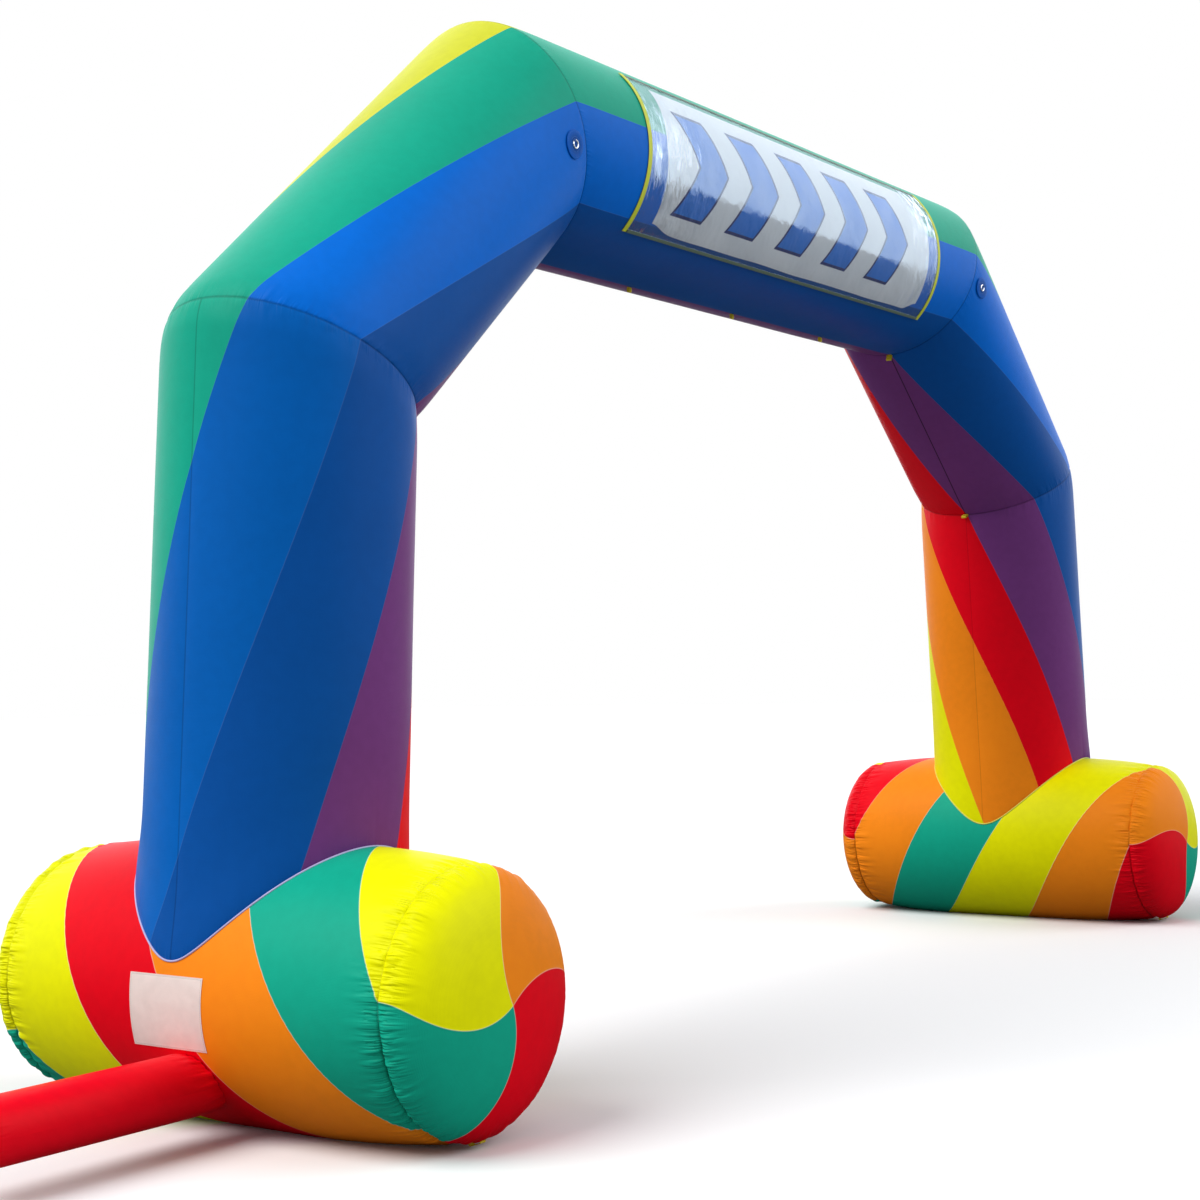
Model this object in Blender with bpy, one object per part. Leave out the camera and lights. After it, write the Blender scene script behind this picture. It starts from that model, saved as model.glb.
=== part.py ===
"""Inflatable arch: air-filled legs, slanted shoulders and a beam on two barrel feet.

Metres, +Z up. X runs along the beam, the front with the banner pocket faces -Y,
and the air inlet leaves the left foot towards -X. The origin is the bottom centre
of the whole part's bounding box.
"""

import math

import bmesh
import bpy
from mathutils import Matrix, Vector

# Tubes of the arch: radius, number of sides, and the centre line's corners.
TUBE_R = 0.400
SIDES = 40
SIDE_ANGLE = math.tau / SIDES
LEG_LEAN = math.radians(3.2)
LEG_ROOT = 0.050
KNEE_Z = 2.27
BEAM_Z = 3.22
BEAM_HALF = 1.62

# Barrel feet: the seams lie at the two ends, and the caps are domed beyond them.
FOOT_X = 2.768
FOOT_R = 0.420
FOOT_AXIS_Z = 0.400
FOOT_SEAM_Y = 0.760
FOOT_SEAM_R = 0.385
FOOT_STRAIGHT_Y = 0.250
CAP_DEPTH = 0.160
BARREL_STATIONS = (0.0, 0.25, 0.5, 0.75, 1.0)
CAP_STATIONS = 6

# Seams between tubes draw the cloth in by this much over this length.
SEAM_DRAW = 0.008
SEAM_REACH = 0.070
SEAM_LOOPS = (0.025, 0.060, 0.120)

# Air inlet: a cloth sleeve with a hemmed mouth.
SLEEVE_R = 0.0885
SLEEVE_WALL = 0.003
SLEEVE_Y = -0.055
SLEEVE_Z = 0.170
SLEEVE_MOUTH_X = -3.900
SLEEVE_HEM = 0.030
SLEEVE_HEM_THICKER = 0.0015
SLEEVE_SIDES = 24

# Pocket for the banner on the beam's front: angles run downwards from the front.
POCKET_HALF = 1.190
POCKET_ANGLE = math.radians(45.0)
BINDING_WIDTH = 0.024
BINDING_ANGLE = math.radians(2.0)
BINDING_THICK = 0.003
FILM_LIFT = 0.0018
FILM_THICK = 0.001
INSERT_LEFT = -1.060
INSERT_RIGHT = 1.100
INSERT_TOP = math.radians(-40.5)
INSERT_BOTTOM = math.radians(42.5)
INSERT_THICK = 0.001

# Label on the left foot's outer side, 297 by 210 mm.
LABEL_Y = (-0.140, 0.157)
LABEL_ANGLES = (math.radians(-18.5), math.radians(10.2))
LABEL_THICK = 0.001

# Anchor points: a round patch, a steel ring and its keeper on each shoulder's front.
ANCHOR_BACK = 0.100
PATCH_R = 0.050
PATCH_THICK = 0.003
PATCH_BLANK = 0.130
PATCH_BLANK_SIDES = 5
PATCH_SIDES = 24
RING_R = 0.014
RING_BAR = 0.003
RING_STEPS = 20
RING_SIDES = 8
KEEPER_WIDTH = 0.012
KEEPER_SPAN = 0.0135
KEEPER_THICK = 0.0015

# Webbing loops: length out of the seam, webbing width and thickness, and the eye.
LOOP_LENGTH = 0.036
LOOP_WIDTH = 0.025
SMALL_LOOP_LENGTH = 0.022
SMALL_LOOP_WIDTH = 0.018
FOOT_LOOP_LENGTH = 0.045
LOOP_HEIGHT = 0.012
WEBBING_THICK = 0.002
LOOP_ARC_STEPS = 6
BEAM_LOOPS = (("beam_loop_left", -0.77), ("beam_loop_middle", 0.0), ("beam_loop_right", 0.77))

GAP = 0.0003
NOTCH_GAP = 0.0010
MERGE = 0.00001

GREEN = (0.010, 0.310, 0.190)
BLUE = (0.004, 0.130, 0.620)
NAVY = (0.004, 0.070, 0.280)
RED = (0.700, 0.003, 0.010)
ORANGE = (0.900, 0.260, 0.005)
YELLOW = (0.850, 0.760, 0.010)
WHITE = (0.780, 0.790, 0.800)
CLEAR = (0.620, 0.700, 0.740)
LIME = (0.500, 0.560, 0.050)
STEEL = (0.720, 0.730, 0.740)

SIDES_OF_ARCH = (("left", -1.0), ("right", 1.0))
FRONT = Vector((0.0, -1.0, 0.0))
UP = Vector((0.0, 0.0, 1.0))
KNEE_X = FOOT_X - math.tan(LEG_LEAN) * (KNEE_Z - FOOT_AXIS_Z)
FRAME_SHIFT = (-SLEEVE_MOUTH_X - (FOOT_X + FOOT_R)) / 2


def clear_scene():
    """Remove the objects the file opens with."""
    for item in list(bpy.data.objects):
        bpy.data.objects.remove(item, do_unlink=True)


def make_frame():
    """An empty that carries every piece, so that the origin is the box's bottom centre."""
    frame = bpy.data.objects.new("arch_frame", None)
    frame.location = (FRAME_SHIFT, 0.0, 0.0)
    bpy.context.scene.collection.objects.link(frame)
    return frame


def make_material(name, colour, roughness, metallic=0.0):
    """A Principled material of one colour."""
    material = bpy.data.materials.new(name)
    material.use_nodes = True
    shader = material.node_tree.nodes["Principled BSDF"]
    shader.inputs["Base Color"].default_value = (*colour, 1.0)
    shader.inputs["Roughness"].default_value = roughness
    shader.inputs["Metallic"].default_value = metallic
    material.diffuse_color = (*colour, 1.0)
    return material


def add_object(frame, name, bm, colour, roughness=0.6, metallic=0.0):
    """Turn a bmesh into a named object with its own material, carried by the frame."""
    bmesh.ops.recalc_face_normals(bm, faces=bm.faces)
    mesh = bpy.data.meshes.new(name)
    bm.to_mesh(mesh)
    bm.free()
    mesh.materials.append(make_material(name + "_finish", colour, roughness, metallic))
    mesh.shade_smooth()
    mesh.set_sharp_from_angle(angle=math.radians(40.0))
    obj = bpy.data.objects.new(name, mesh)
    obj.parent = frame
    bpy.context.scene.collection.objects.link(obj)
    return obj


def hide_cutter(obj):
    """Mark a helper that only cuts other pieces."""
    obj.hide_render = True
    obj.display_type = "WIRE"
    return obj


def boolean(obj, cutter, operation):
    """Cut or trim a piece by a helper with an exact Boolean modifier."""
    modifier = obj.modifiers.new(operation.lower(), "BOOLEAN")
    modifier.operation = operation
    modifier.solver = "EXACT"
    modifier.object = cutter


def axes_matrix(origin, x_axis, z_axis):
    """A placement whose local Z is z_axis and whose local X is x_axis."""
    z_axis = z_axis.normalized()
    x_axis = x_axis.normalized()
    y_axis = z_axis.cross(x_axis)
    columns = Matrix((x_axis, y_axis, z_axis)).transposed()
    return Matrix.Translation(origin) @ columns.to_4x4()


def centre_line(side):
    """Foot centre, knee and beam corner of one side, on the tubes' centre line."""
    foot = Vector((side * FOOT_X, 0.0, FOOT_AXIS_Z))
    knee = Vector((side * KNEE_X, 0.0, KNEE_Z))
    corner = Vector((side * BEAM_HALF, 0.0, BEAM_Z))
    return foot, knee, corner


def mitre_normal(before, corner, after):
    """Normal of the seam plane between two straight tubes, pointing along the way."""
    return ((corner - before).normalized() + (after - corner).normalized()).normalized()


def cut_flat(bm, point, normal):
    """Cut away what lies beyond a plane and close the cut with a flat face."""
    geometry = bm.verts[:] + bm.edges[:] + bm.faces[:]
    bmesh.ops.bisect_plane(bm, geom=geometry, plane_co=point, plane_no=normal, clear_outer=True)
    rim = [edge for edge in bm.edges if edge.is_boundary]
    bmesh.ops.edgeloop_fill(bm, edges=rim)


def draw_in(bm, axis_point, axis, point, normal):
    """Draw a tube in towards its centre line near the seam plane at point."""
    for reach in SEAM_LOOPS:
        sides = [face for face in bm.faces if len(face.verts) <= 4]
        edges = list({edge for face in sides for edge in face.edges})
        verts = list({vert for face in sides for vert in face.verts})
        bmesh.ops.bisect_plane(
            bm, geom=verts + edges + sides, plane_co=point - normal * reach, plane_no=normal
        )
    for vert in bm.verts:
        depth = (point - vert.co).dot(normal)
        along = (vert.co - axis_point).dot(normal) / axis.dot(normal)
        centre = axis_point + axis * along
        share = SEAM_DRAW / TUBE_R * math.exp(-((depth / SEAM_REACH) ** 2))
        vert.co += (centre - vert.co) * share


def tube_between(start, end, cuts):
    """A round tube from start to end, then cut and drawn in at its seam planes."""
    axis = (end - start).normalized()
    bm = bmesh.new()
    bmesh.ops.create_cone(
        bm, cap_ends=True, segments=SIDES, radius1=TUBE_R, radius2=TUBE_R,
        depth=(end - start).length, matrix=axes_matrix((start + end) / 2, FRONT, axis),
    )
    seams = [(point - normal * (GAP / 2), normal) for point, normal in cuts]
    for point, normal in seams:
        cut_flat(bm, point, normal)
    for point, normal in seams:
        draw_in(bm, start, axis, point, normal)
    return bm


def make_leg(frame, name, side):
    """One leg: mitred at the knee, its lower end fitted over the barrel foot."""
    foot, knee, corner = centre_line(side)
    axis = (knee - foot).normalized()
    cuts = ((knee, mitre_normal(foot, knee, corner)),)
    bm = tube_between(foot + axis * LEG_ROOT, knee + axis * TUBE_R, cuts)
    return add_object(frame, name, bm, BLUE)


def make_shoulder(frame, name, side):
    """The slanted tube between a leg and the beam."""
    foot, knee, corner = centre_line(side)
    other = Vector((-side * BEAM_HALF, 0.0, BEAM_Z))
    cuts = (
        (knee, -mitre_normal(foot, knee, corner)),
        (corner, mitre_normal(knee, corner, other)),
    )
    spare = (corner - knee).normalized() * TUBE_R
    bm = tube_between(knee - spare, corner + spare, cuts)
    return add_object(frame, name, bm, GREEN)


def make_beam(frame, name):
    """The level tube across the top."""
    left_knee, left = centre_line(-1.0)[1:]
    right_knee, right = centre_line(1.0)[1:]
    cuts = (
        (left, -mitre_normal(left_knee, left, right)),
        (right, -mitre_normal(right_knee, right, left)),
    )
    spare = Vector((TUBE_R, 0.0, 0.0))
    return add_object(frame, name, tube_between(left - spare, right + spare, cuts), NAVY)


def barrel_radius(along):
    """Radius of the barrel foot at a distance from its middle."""
    if along <= FOOT_STRAIGHT_Y:
        return FOOT_R
    share = (along - FOOT_STRAIGHT_Y) / (FOOT_SEAM_Y - FOOT_STRAIGHT_Y)
    return FOOT_R - (FOOT_R - FOOT_SEAM_R) * share**2


def spin_profile(profile, centre, direction, steps):
    """Turn a profile of (distance along, radius) points round an axis through centre."""
    bm = bmesh.new()
    points = [bm.verts.new(centre + direction * along + UP * radius) for along, radius in profile]
    for first, second in zip(points, points[1:]):
        bm.edges.new((first, second))
    bmesh.ops.spin(
        bm, geom=bm.verts[:] + bm.edges[:], cent=centre, axis=direction,
        angle=math.tau, steps=steps, use_merge=True,
    )
    bmesh.ops.remove_doubles(bm, verts=bm.verts, dist=MERGE)
    return bm


def barrel_profile(extra):
    """Half profile of the barrel foot from its back end to its front end."""
    reach = FOOT_SEAM_Y - FOOT_STRAIGHT_Y
    half = [FOOT_STRAIGHT_Y + reach * station for station in BARREL_STATIONS]
    stations = [-along for along in reversed(half)] + half
    rim = [(along, barrel_radius(abs(along)) + extra) for along in stations]
    return [(stations[0], 0.0), *rim, (stations[-1], 0.0)]


def make_foot(frame, name, side):
    """A barrel foot lying front to back, with a flat underside."""
    centre = Vector((side * FOOT_X, 0.0, FOOT_AXIS_Z))
    bm = spin_profile(barrel_profile(0.0), centre, FRONT, SIDES)
    cut_flat(bm, Vector((0.0, 0.0, 0.0)), -UP)
    return add_object(frame, name, bm, ORANGE)


def make_foot_cutter(frame, side):
    """The barrel foot grown by the gap, for trimming what is sewn to it."""
    centre = Vector((side * FOOT_X, 0.0, FOOT_AXIS_Z))
    bm = spin_profile(barrel_profile(GAP), centre, FRONT, SIDES)
    return hide_cutter(add_object(frame, "foot_cutter", bm, ORANGE))


def cap_profile():
    """Half profile of a domed cap, from its rim to its tip."""
    start = FOOT_SEAM_Y + GAP
    angles = [math.pi / 2 * step / CAP_STATIONS for step in range(CAP_STATIONS)]
    rim = [
        (start + CAP_DEPTH * math.sin(angle), FOOT_SEAM_R * math.cos(angle)) for angle in angles
    ]
    return [*rim, (start + CAP_DEPTH, 0.0)]


def make_cap(frame, name, side, direction, colour):
    """The domed end panel of a barrel foot."""
    centre = Vector((side * FOOT_X, 0.0, FOOT_AXIS_Z))
    dome = cap_profile()
    bm = spin_profile([(dome[0][0], 0.0), *dome], centre, direction, SIDES)
    return add_object(frame, name, bm, colour)


def make_sleeve(frame, foot_cutter):
    """The air inlet: a round cloth sleeve with a hem at its open mouth."""
    inner = SLEEVE_R - SLEEVE_WALL
    start = -FOOT_X
    hem_start = SLEEVE_MOUTH_X + SLEEVE_HEM
    hem_r = SLEEVE_R + SLEEVE_HEM_THICKER
    profile = [
        (-start, inner), (-start, SLEEVE_R), (-hem_start, SLEEVE_R), (-hem_start, hem_r),
        (-SLEEVE_MOUTH_X, hem_r), (-SLEEVE_MOUTH_X, inner), (-start, inner),
    ]
    centre = Vector((0.0, SLEEVE_Y, SLEEVE_Z))
    bm = spin_profile(profile, centre, Vector((-1.0, 0.0, 0.0)), SLEEVE_SIDES)
    sleeve = add_object(frame, "inlet_sleeve", bm, RED)
    boolean(sleeve, foot_cutter, "DIFFERENCE")
    return sleeve


def facet_radius(radius, angle):
    """Distance from the axis to a many-sided tube of this corner radius at an angle."""
    from_middle = (angle % SIDE_ANGLE) - SIDE_ANGLE / 2
    return radius * math.cos(SIDE_ANGLE / 2) / math.cos(from_middle)


def band_angles(start, end):
    """The start, each of the tube's corners in between, and the end."""
    first = math.floor(start / SIDE_ANGLE + 1.001)
    last = math.ceil(end / SIDE_ANGLE - 1.001)
    return [start, *(SIDE_ANGLE * corner for corner in range(first, last + 1)), end]


def arc_band(placement, radius, lift, thickness, angles, length):
    """A thin sheet that lies on a many-sided tube, along the placement's local Z."""
    bm = bmesh.new()
    stops = band_angles(*angles)
    outline = [(facet_radius(radius + lift, angle), angle) for angle in stops]
    outline += [(facet_radius(radius + lift + thickness, angle), angle) for angle in reversed(stops)]
    verts = [
        bm.verts.new((reach * math.cos(angle), reach * math.sin(angle), 0.0))
        for reach, angle in outline
    ]
    half = len(stops)
    faces = [
        bm.faces.new((verts[i], verts[i + 1], verts[2 * half - 2 - i], verts[2 * half - 1 - i]))
        for i in range(half - 1)
    ]
    grown = bmesh.ops.extrude_face_region(bm, geom=faces, use_keep_orig=True)["geom"]
    moved = [item for item in grown if isinstance(item, bmesh.types.BMVert)]
    bmesh.ops.translate(bm, verts=moved, vec=(0.0, 0.0, length))
    bmesh.ops.transform(bm, matrix=placement, verts=bm.verts)
    return bm


def make_beam_sheet(frame, name, span, angles, lift, thickness, colour, roughness):
    """A sheet on the beam's front between two places along X and two angles."""
    origin = Vector((span[0], 0.0, BEAM_Z))
    placement = axes_matrix(origin, FRONT, Vector((1.0, 0.0, 0.0)))
    bm = arc_band(placement, TUBE_R, lift, thickness, angles, span[1] - span[0])
    return add_object(frame, name, bm, colour, roughness)


def make_pocket(frame):
    """The clear banner pocket: film, printed insert behind it, and four bindings."""
    side_spans = (
        ("pocket_binding_left", (-POCKET_HALF - BINDING_WIDTH, -POCKET_HALF)),
        ("pocket_binding_right", (POCKET_HALF, POCKET_HALF + BINDING_WIDTH)),
    )
    full = (-POCKET_ANGLE - BINDING_ANGLE, POCKET_ANGLE + BINDING_ANGLE)
    for name, span in side_spans:
        make_beam_sheet(frame, name, span, full, GAP, BINDING_THICK, LIME, 0.5)
    edge = GAP / TUBE_R
    inner_span = (-POCKET_HALF + GAP, POCKET_HALF - GAP)
    edge_angles = (
        ("pocket_binding_top", (full[0], -POCKET_ANGLE - edge)),
        ("pocket_binding_bottom", (POCKET_ANGLE + edge, full[1])),
    )
    for name, angles in edge_angles:
        make_beam_sheet(frame, name, inner_span, angles, GAP, BINDING_THICK, LIME, 0.5)
    film = (-POCKET_ANGLE, POCKET_ANGLE)
    make_beam_sheet(frame, "pocket_film", inner_span, film, FILM_LIFT, FILM_THICK, CLEAR, 0.1)
    insert_span = (INSERT_LEFT, INSERT_RIGHT)
    insert_angles = (INSERT_TOP, INSERT_BOTTOM)
    make_beam_sheet(
        frame, "banner_insert", insert_span, insert_angles, GAP, INSERT_THICK, WHITE, 0.5
    )


def make_label(frame):
    """The bare white label on the left foot's outer side."""
    origin = Vector((-FOOT_X, LABEL_Y[0], FOOT_AXIS_Z))
    outer = Vector((-1.0, 0.0, 0.0))
    placement = axes_matrix(origin, outer, Vector((0.0, 1.0, 0.0)))
    length = LABEL_Y[1] - LABEL_Y[0]
    bm = arc_band(placement, FOOT_R, GAP, LABEL_THICK, LABEL_ANGLES, length)
    return add_object(frame, "label", bm, WHITE, 0.5)


def make_anchor(frame, name, side):
    """A round patch on a shoulder's front, with a steel ring and the strap over it."""
    knee, corner = centre_line(side)[1:]
    along = (corner - knee).normalized()
    centre = corner - along * ANCHOR_BACK
    placement = axes_matrix(centre, FRONT, along)
    turn = SIDE_ANGLE / 2 * (1.0 if placement.col[1].z < 0.0 else -1.0)
    outward = (placement.to_3x3() @ Vector((math.cos(turn), math.sin(turn), 0.0))).normalized()
    seat = centre + outward * TUBE_R * math.cos(SIDE_ANGLE / 2)

    band = Matrix.Translation(-along * (PATCH_BLANK / 2)) @ placement
    reach = SIDE_ANGLE * PATCH_BLANK_SIDES / 2
    bm = arc_band(band, TUBE_R, GAP, PATCH_THICK, (turn - reach, turn + reach), PATCH_BLANK)
    patch = add_object(frame, "anchor_patch_" + name, bm, NAVY)
    bm = bmesh.new()
    bmesh.ops.create_cone(
        bm, cap_ends=True, segments=PATCH_SIDES, radius1=PATCH_R, radius2=PATCH_R,
        depth=PATCH_BLANK, matrix=axes_matrix(seat, along, outward),
    )
    trimmer = hide_cutter(add_object(frame, "patch_trimmer_" + name, bm, NAVY))
    boolean(patch, trimmer, "INTERSECT")

    top = seat + outward * (GAP + PATCH_THICK)
    ring_centre = top + outward * (GAP + RING_BAR)
    make_ring(frame, "anchor_ring_" + name, ring_centre, outward)
    across = outward.cross(along)
    if across.z < 0.0:
        across = -across
    make_keeper(frame, "ring_keeper_" + name, top, across, outward)


def make_ring(frame, name, centre, normal):
    """A round steel ring lying flat on its patch."""
    bm = bmesh.new()
    side = normal.orthogonal().normalized()
    placement = axes_matrix(centre + side * RING_R, side, normal.cross(side))
    bmesh.ops.create_circle(bm, segments=RING_SIDES, radius=RING_BAR, matrix=placement)
    bmesh.ops.spin(
        bm, geom=bm.verts[:] + bm.edges[:], cent=centre, axis=normal,
        angle=math.tau, steps=RING_STEPS, use_merge=True,
    )
    bmesh.ops.remove_doubles(bm, verts=bm.verts, dist=MERGE)
    return add_object(frame, name, bm, STEEL, 0.25, 1.0)


def make_keeper(frame, name, top, across, outward):
    """A short strap over the ring's upper bar, with both feet on the patch."""
    middle = top + across * RING_R
    width_axis = across.cross(outward).normalized()
    half = KEEPER_SPAN / 2
    rise = 2 * RING_BAR + 3 * GAP
    outer = [(-half, GAP), (-half, rise + KEEPER_THICK), (half, rise + KEEPER_THICK), (half, GAP)]
    inner_half = half - KEEPER_THICK
    inner = [(inner_half, GAP), (inner_half, rise), (-inner_half, rise), (-inner_half, GAP)]
    bm = bmesh.new()
    base = middle - width_axis * (KEEPER_WIDTH / 2)
    verts = [bm.verts.new(base + across * u + outward * v) for u, v in outer + inner]
    faces = [
        bm.faces.new((verts[i], verts[i + 1], verts[6 - i], verts[7 - i])) for i in range(3)
    ]
    grown = bmesh.ops.extrude_face_region(bm, geom=faces, use_keep_orig=True)["geom"]
    moved = [item for item in grown if isinstance(item, bmesh.types.BMVert)]
    bmesh.ops.translate(bm, verts=moved, vec=width_axis * KEEPER_WIDTH)
    return add_object(frame, name, bm, NAVY)


def stadium(length, height):
    """Outline of a flattened loop from 0 to length, height across, with round ends."""
    radius = height / 2
    points = []
    for centre, turn in ((length - radius, -math.pi / 2), (radius, math.pi / 2)):
        for step in range(LOOP_ARC_STEPS + 1):
            angle = turn + math.pi * step / LOOP_ARC_STEPS
            points.append((centre + radius * math.cos(angle), radius * math.sin(angle)))
    return points


def make_loop(frame, name, root, outward, width_axis, length, width):
    """An open webbing loop that stands out of a seam, its eye along width_axis."""
    outward = outward.normalized()
    height_axis = outward.cross(width_axis).normalized()
    base = root - width_axis * (width / 2)
    outer = stadium(length, LOOP_HEIGHT)
    inner = stadium(length - 2 * WEBBING_THICK, LOOP_HEIGHT - 2 * WEBBING_THICK)
    inner = [(u + WEBBING_THICK, v) for u, v in inner]
    bm = bmesh.new()
    rings = [
        [bm.verts.new(base + outward * u + height_axis * v) for u, v in line]
        for line in (outer, inner)
    ]
    count = len(outer)
    faces = [
        bm.faces.new((
            rings[0][i], rings[0][(i + 1) % count], rings[1][(i + 1) % count], rings[1][i],
        ))
        for i in range(count)
    ]
    grown = bmesh.ops.extrude_face_region(bm, geom=faces, use_keep_orig=True)["geom"]
    moved = [item for item in grown if isinstance(item, bmesh.types.BMVert)]
    bmesh.ops.translate(bm, verts=moved, vec=width_axis * width)
    return add_object(frame, name, bm, YELLOW, 0.7)


def inner_seam_point(before, corner, after):
    """Where two tubes meet on the inside of their bend, and the way out of it."""
    first = (corner - before).normalized()
    second = (after - corner).normalized()
    inward = (second - first).normalized()
    half_turn = first.angle(second) / 2
    return corner + inward * ((TUBE_R - SEAM_DRAW) / math.cos(half_turn)), inward


def make_foot_loop(frame, name, side):
    """The loop sewn into a front cap's seam, flat against the dome's underside."""
    across = Vector((1.0, 0.0, 0.0))
    rim, inner = cap_profile()[:2]
    outward = (FRONT * (inner[0] - rim[0]) + UP * (rim[1] - inner[1])).normalized()
    seam = Vector((side * FOOT_X, 0.0, FOOT_AXIS_Z)) + FRONT * rim[0] - UP * rim[1]
    root = seam + across.cross(outward) * (GAP + LOOP_HEIGHT / 2)
    make_loop(frame, "foot_loop_" + name, root, outward, across, FOOT_LOOP_LENGTH, LOOP_WIDTH)


def make_loops(frame):
    """All webbing loops: inside the bends, under the beam and at the feet's fronts."""
    depth = Vector((0.0, 1.0, 0.0))
    across = Vector((1.0, 0.0, 0.0))
    for name, side in SIDES_OF_ARCH:
        make_foot_loop(frame, name, side)
        foot, knee, corner = centre_line(side)
        other = Vector((-side * BEAM_HALF, 0.0, BEAM_Z))
        for place, trio in (("knee", (foot, knee, corner)), ("corner", (knee, corner, other))):
            seam, inward = inner_seam_point(*trio)
            root = seam + inward * NOTCH_GAP
            make_loop(
                frame, place + "_loop_" + name, root, inward, depth, LOOP_LENGTH, LOOP_WIDTH
            )
    for name, place in BEAM_LOOPS:
        root = Vector((place, 0.0, BEAM_Z - TUBE_R - GAP))
        make_loop(frame, name, root, -UP, across, SMALL_LOOP_LENGTH, SMALL_LOOP_WIDTH)


def main():
    """Build every piece of the arch."""
    clear_scene()
    frame = make_frame()
    for name, side in SIDES_OF_ARCH:
        foot_cutter = make_foot_cutter(frame, side)
        make_foot(frame, "foot_" + name, side)
        make_cap(frame, "cap_front_" + name, side, FRONT, YELLOW)
        make_cap(frame, "cap_back_" + name, side, -FRONT, GREEN)
        leg = make_leg(frame, "leg_" + name, side)
        boolean(leg, foot_cutter, "DIFFERENCE")
        make_shoulder(frame, "shoulder_" + name, side)
        make_anchor(frame, name, side)
        if side < 0.0:
            make_sleeve(frame, foot_cutter)
    make_beam(frame, "beam")
    make_pocket(frame)
    make_label(frame)
    make_loops(frame)


main()
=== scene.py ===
"""Looks of an inflatable entrance arch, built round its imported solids.

Metres, +Z up. X runs along the beam, and the front with the banner pocket faces -Y.
Round every tube of the arch, angle 0 faces the front and a quarter turn faces the
inside of the arch. Round a foot, angle 0 faces outwards and a quarter turn faces up.
"""

import logging
import math
from collections.abc import Callable
from dataclasses import dataclass, field
from enum import Enum

import bmesh
import bpy
from mathutils import Matrix, Vector, noise


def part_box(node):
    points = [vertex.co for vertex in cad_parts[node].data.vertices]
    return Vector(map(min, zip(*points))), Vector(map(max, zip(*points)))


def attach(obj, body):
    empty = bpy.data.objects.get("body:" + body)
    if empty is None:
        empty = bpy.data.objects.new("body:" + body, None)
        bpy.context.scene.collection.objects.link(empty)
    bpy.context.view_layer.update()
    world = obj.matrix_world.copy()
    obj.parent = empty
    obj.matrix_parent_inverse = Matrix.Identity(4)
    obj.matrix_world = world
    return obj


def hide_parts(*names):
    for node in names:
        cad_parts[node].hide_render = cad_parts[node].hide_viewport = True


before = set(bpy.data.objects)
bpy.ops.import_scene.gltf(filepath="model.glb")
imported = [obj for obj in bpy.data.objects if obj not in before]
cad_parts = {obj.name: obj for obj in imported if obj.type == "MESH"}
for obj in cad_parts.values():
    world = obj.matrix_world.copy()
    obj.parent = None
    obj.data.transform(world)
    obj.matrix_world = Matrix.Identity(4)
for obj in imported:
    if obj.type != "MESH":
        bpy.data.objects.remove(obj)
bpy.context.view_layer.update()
LOG = logging.getLogger("arch")

BODY = "root"
QUARTER = math.pi / 2
TURN = 360.0
FRONT = Vector((0.0, -1.0, 0.0))
ALONG = Vector((1.0, 0.0, 0.0))
UP = Vector((0.0, 0.0, 1.0))
WHITE = (1.0, 1.0, 1.0)
# Air between neighbouring pieces.
GAP = 0.0003
# A vertex with more faces than this is the middle of a cap or a patch.
POLE_FACES = 8
# A vertex nearer to the middle of a cap or a patch than this is merged into it.
TIP = 1e-4
# Angle past which an edge is shaded sharp.
SHARP = math.radians(45.0)
# Shape of the folds at a gathered seam.
FOLD_STEEPNESS = 5.0
FOLD_SHARPNESS = 1.5
RIDGE_SHARE = 1.1
VALLEY_SHARE = 0.7

Rgb = tuple[float, float, float]
Ends = tuple[float, float]


class Tone(Enum):
    """Cloth colours of the arch, linear red, green and blue."""

    GREEN = (0.006, 0.400, 0.262)
    BLUE = (0.000, 0.155, 0.700)
    INDIGO = (0.002, 0.085, 0.370)
    PURPLE = (0.180, 0.044, 0.215)
    RED = (0.860, 0.000, 0.010)
    ORANGE = (1.000, 0.270, 0.010)
    YELLOW = (0.900, 0.890, 0.000)
    # A darker copy of yellow, painted shade on the shoulders and the beam.
    YELLOW_PAINTED_SHADE = (0.660, 0.670, 0.028)
    # A darker copy of blue, painted shade on the legs.
    BLUE_PAINTED_SHADE = (0.000, 0.125, 0.500)


class Named(Enum):
    """A side whose value is its sign along an axis."""

    @property
    def word(self) -> str:
        """The side's name as the nodes have it."""
        return self.name.lower()


class Hand(Named):
    """The two halves of the arch, each with its sign along X."""

    LEFT = -1.0
    RIGHT = 1.0

    @property
    def other(self) -> "Hand":
        """The other half."""
        return Hand(-self.value)


class End(Named):
    """The two ends of a foot, each with its sign along Y."""

    FRONT = -1.0
    BACK = 1.0


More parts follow.
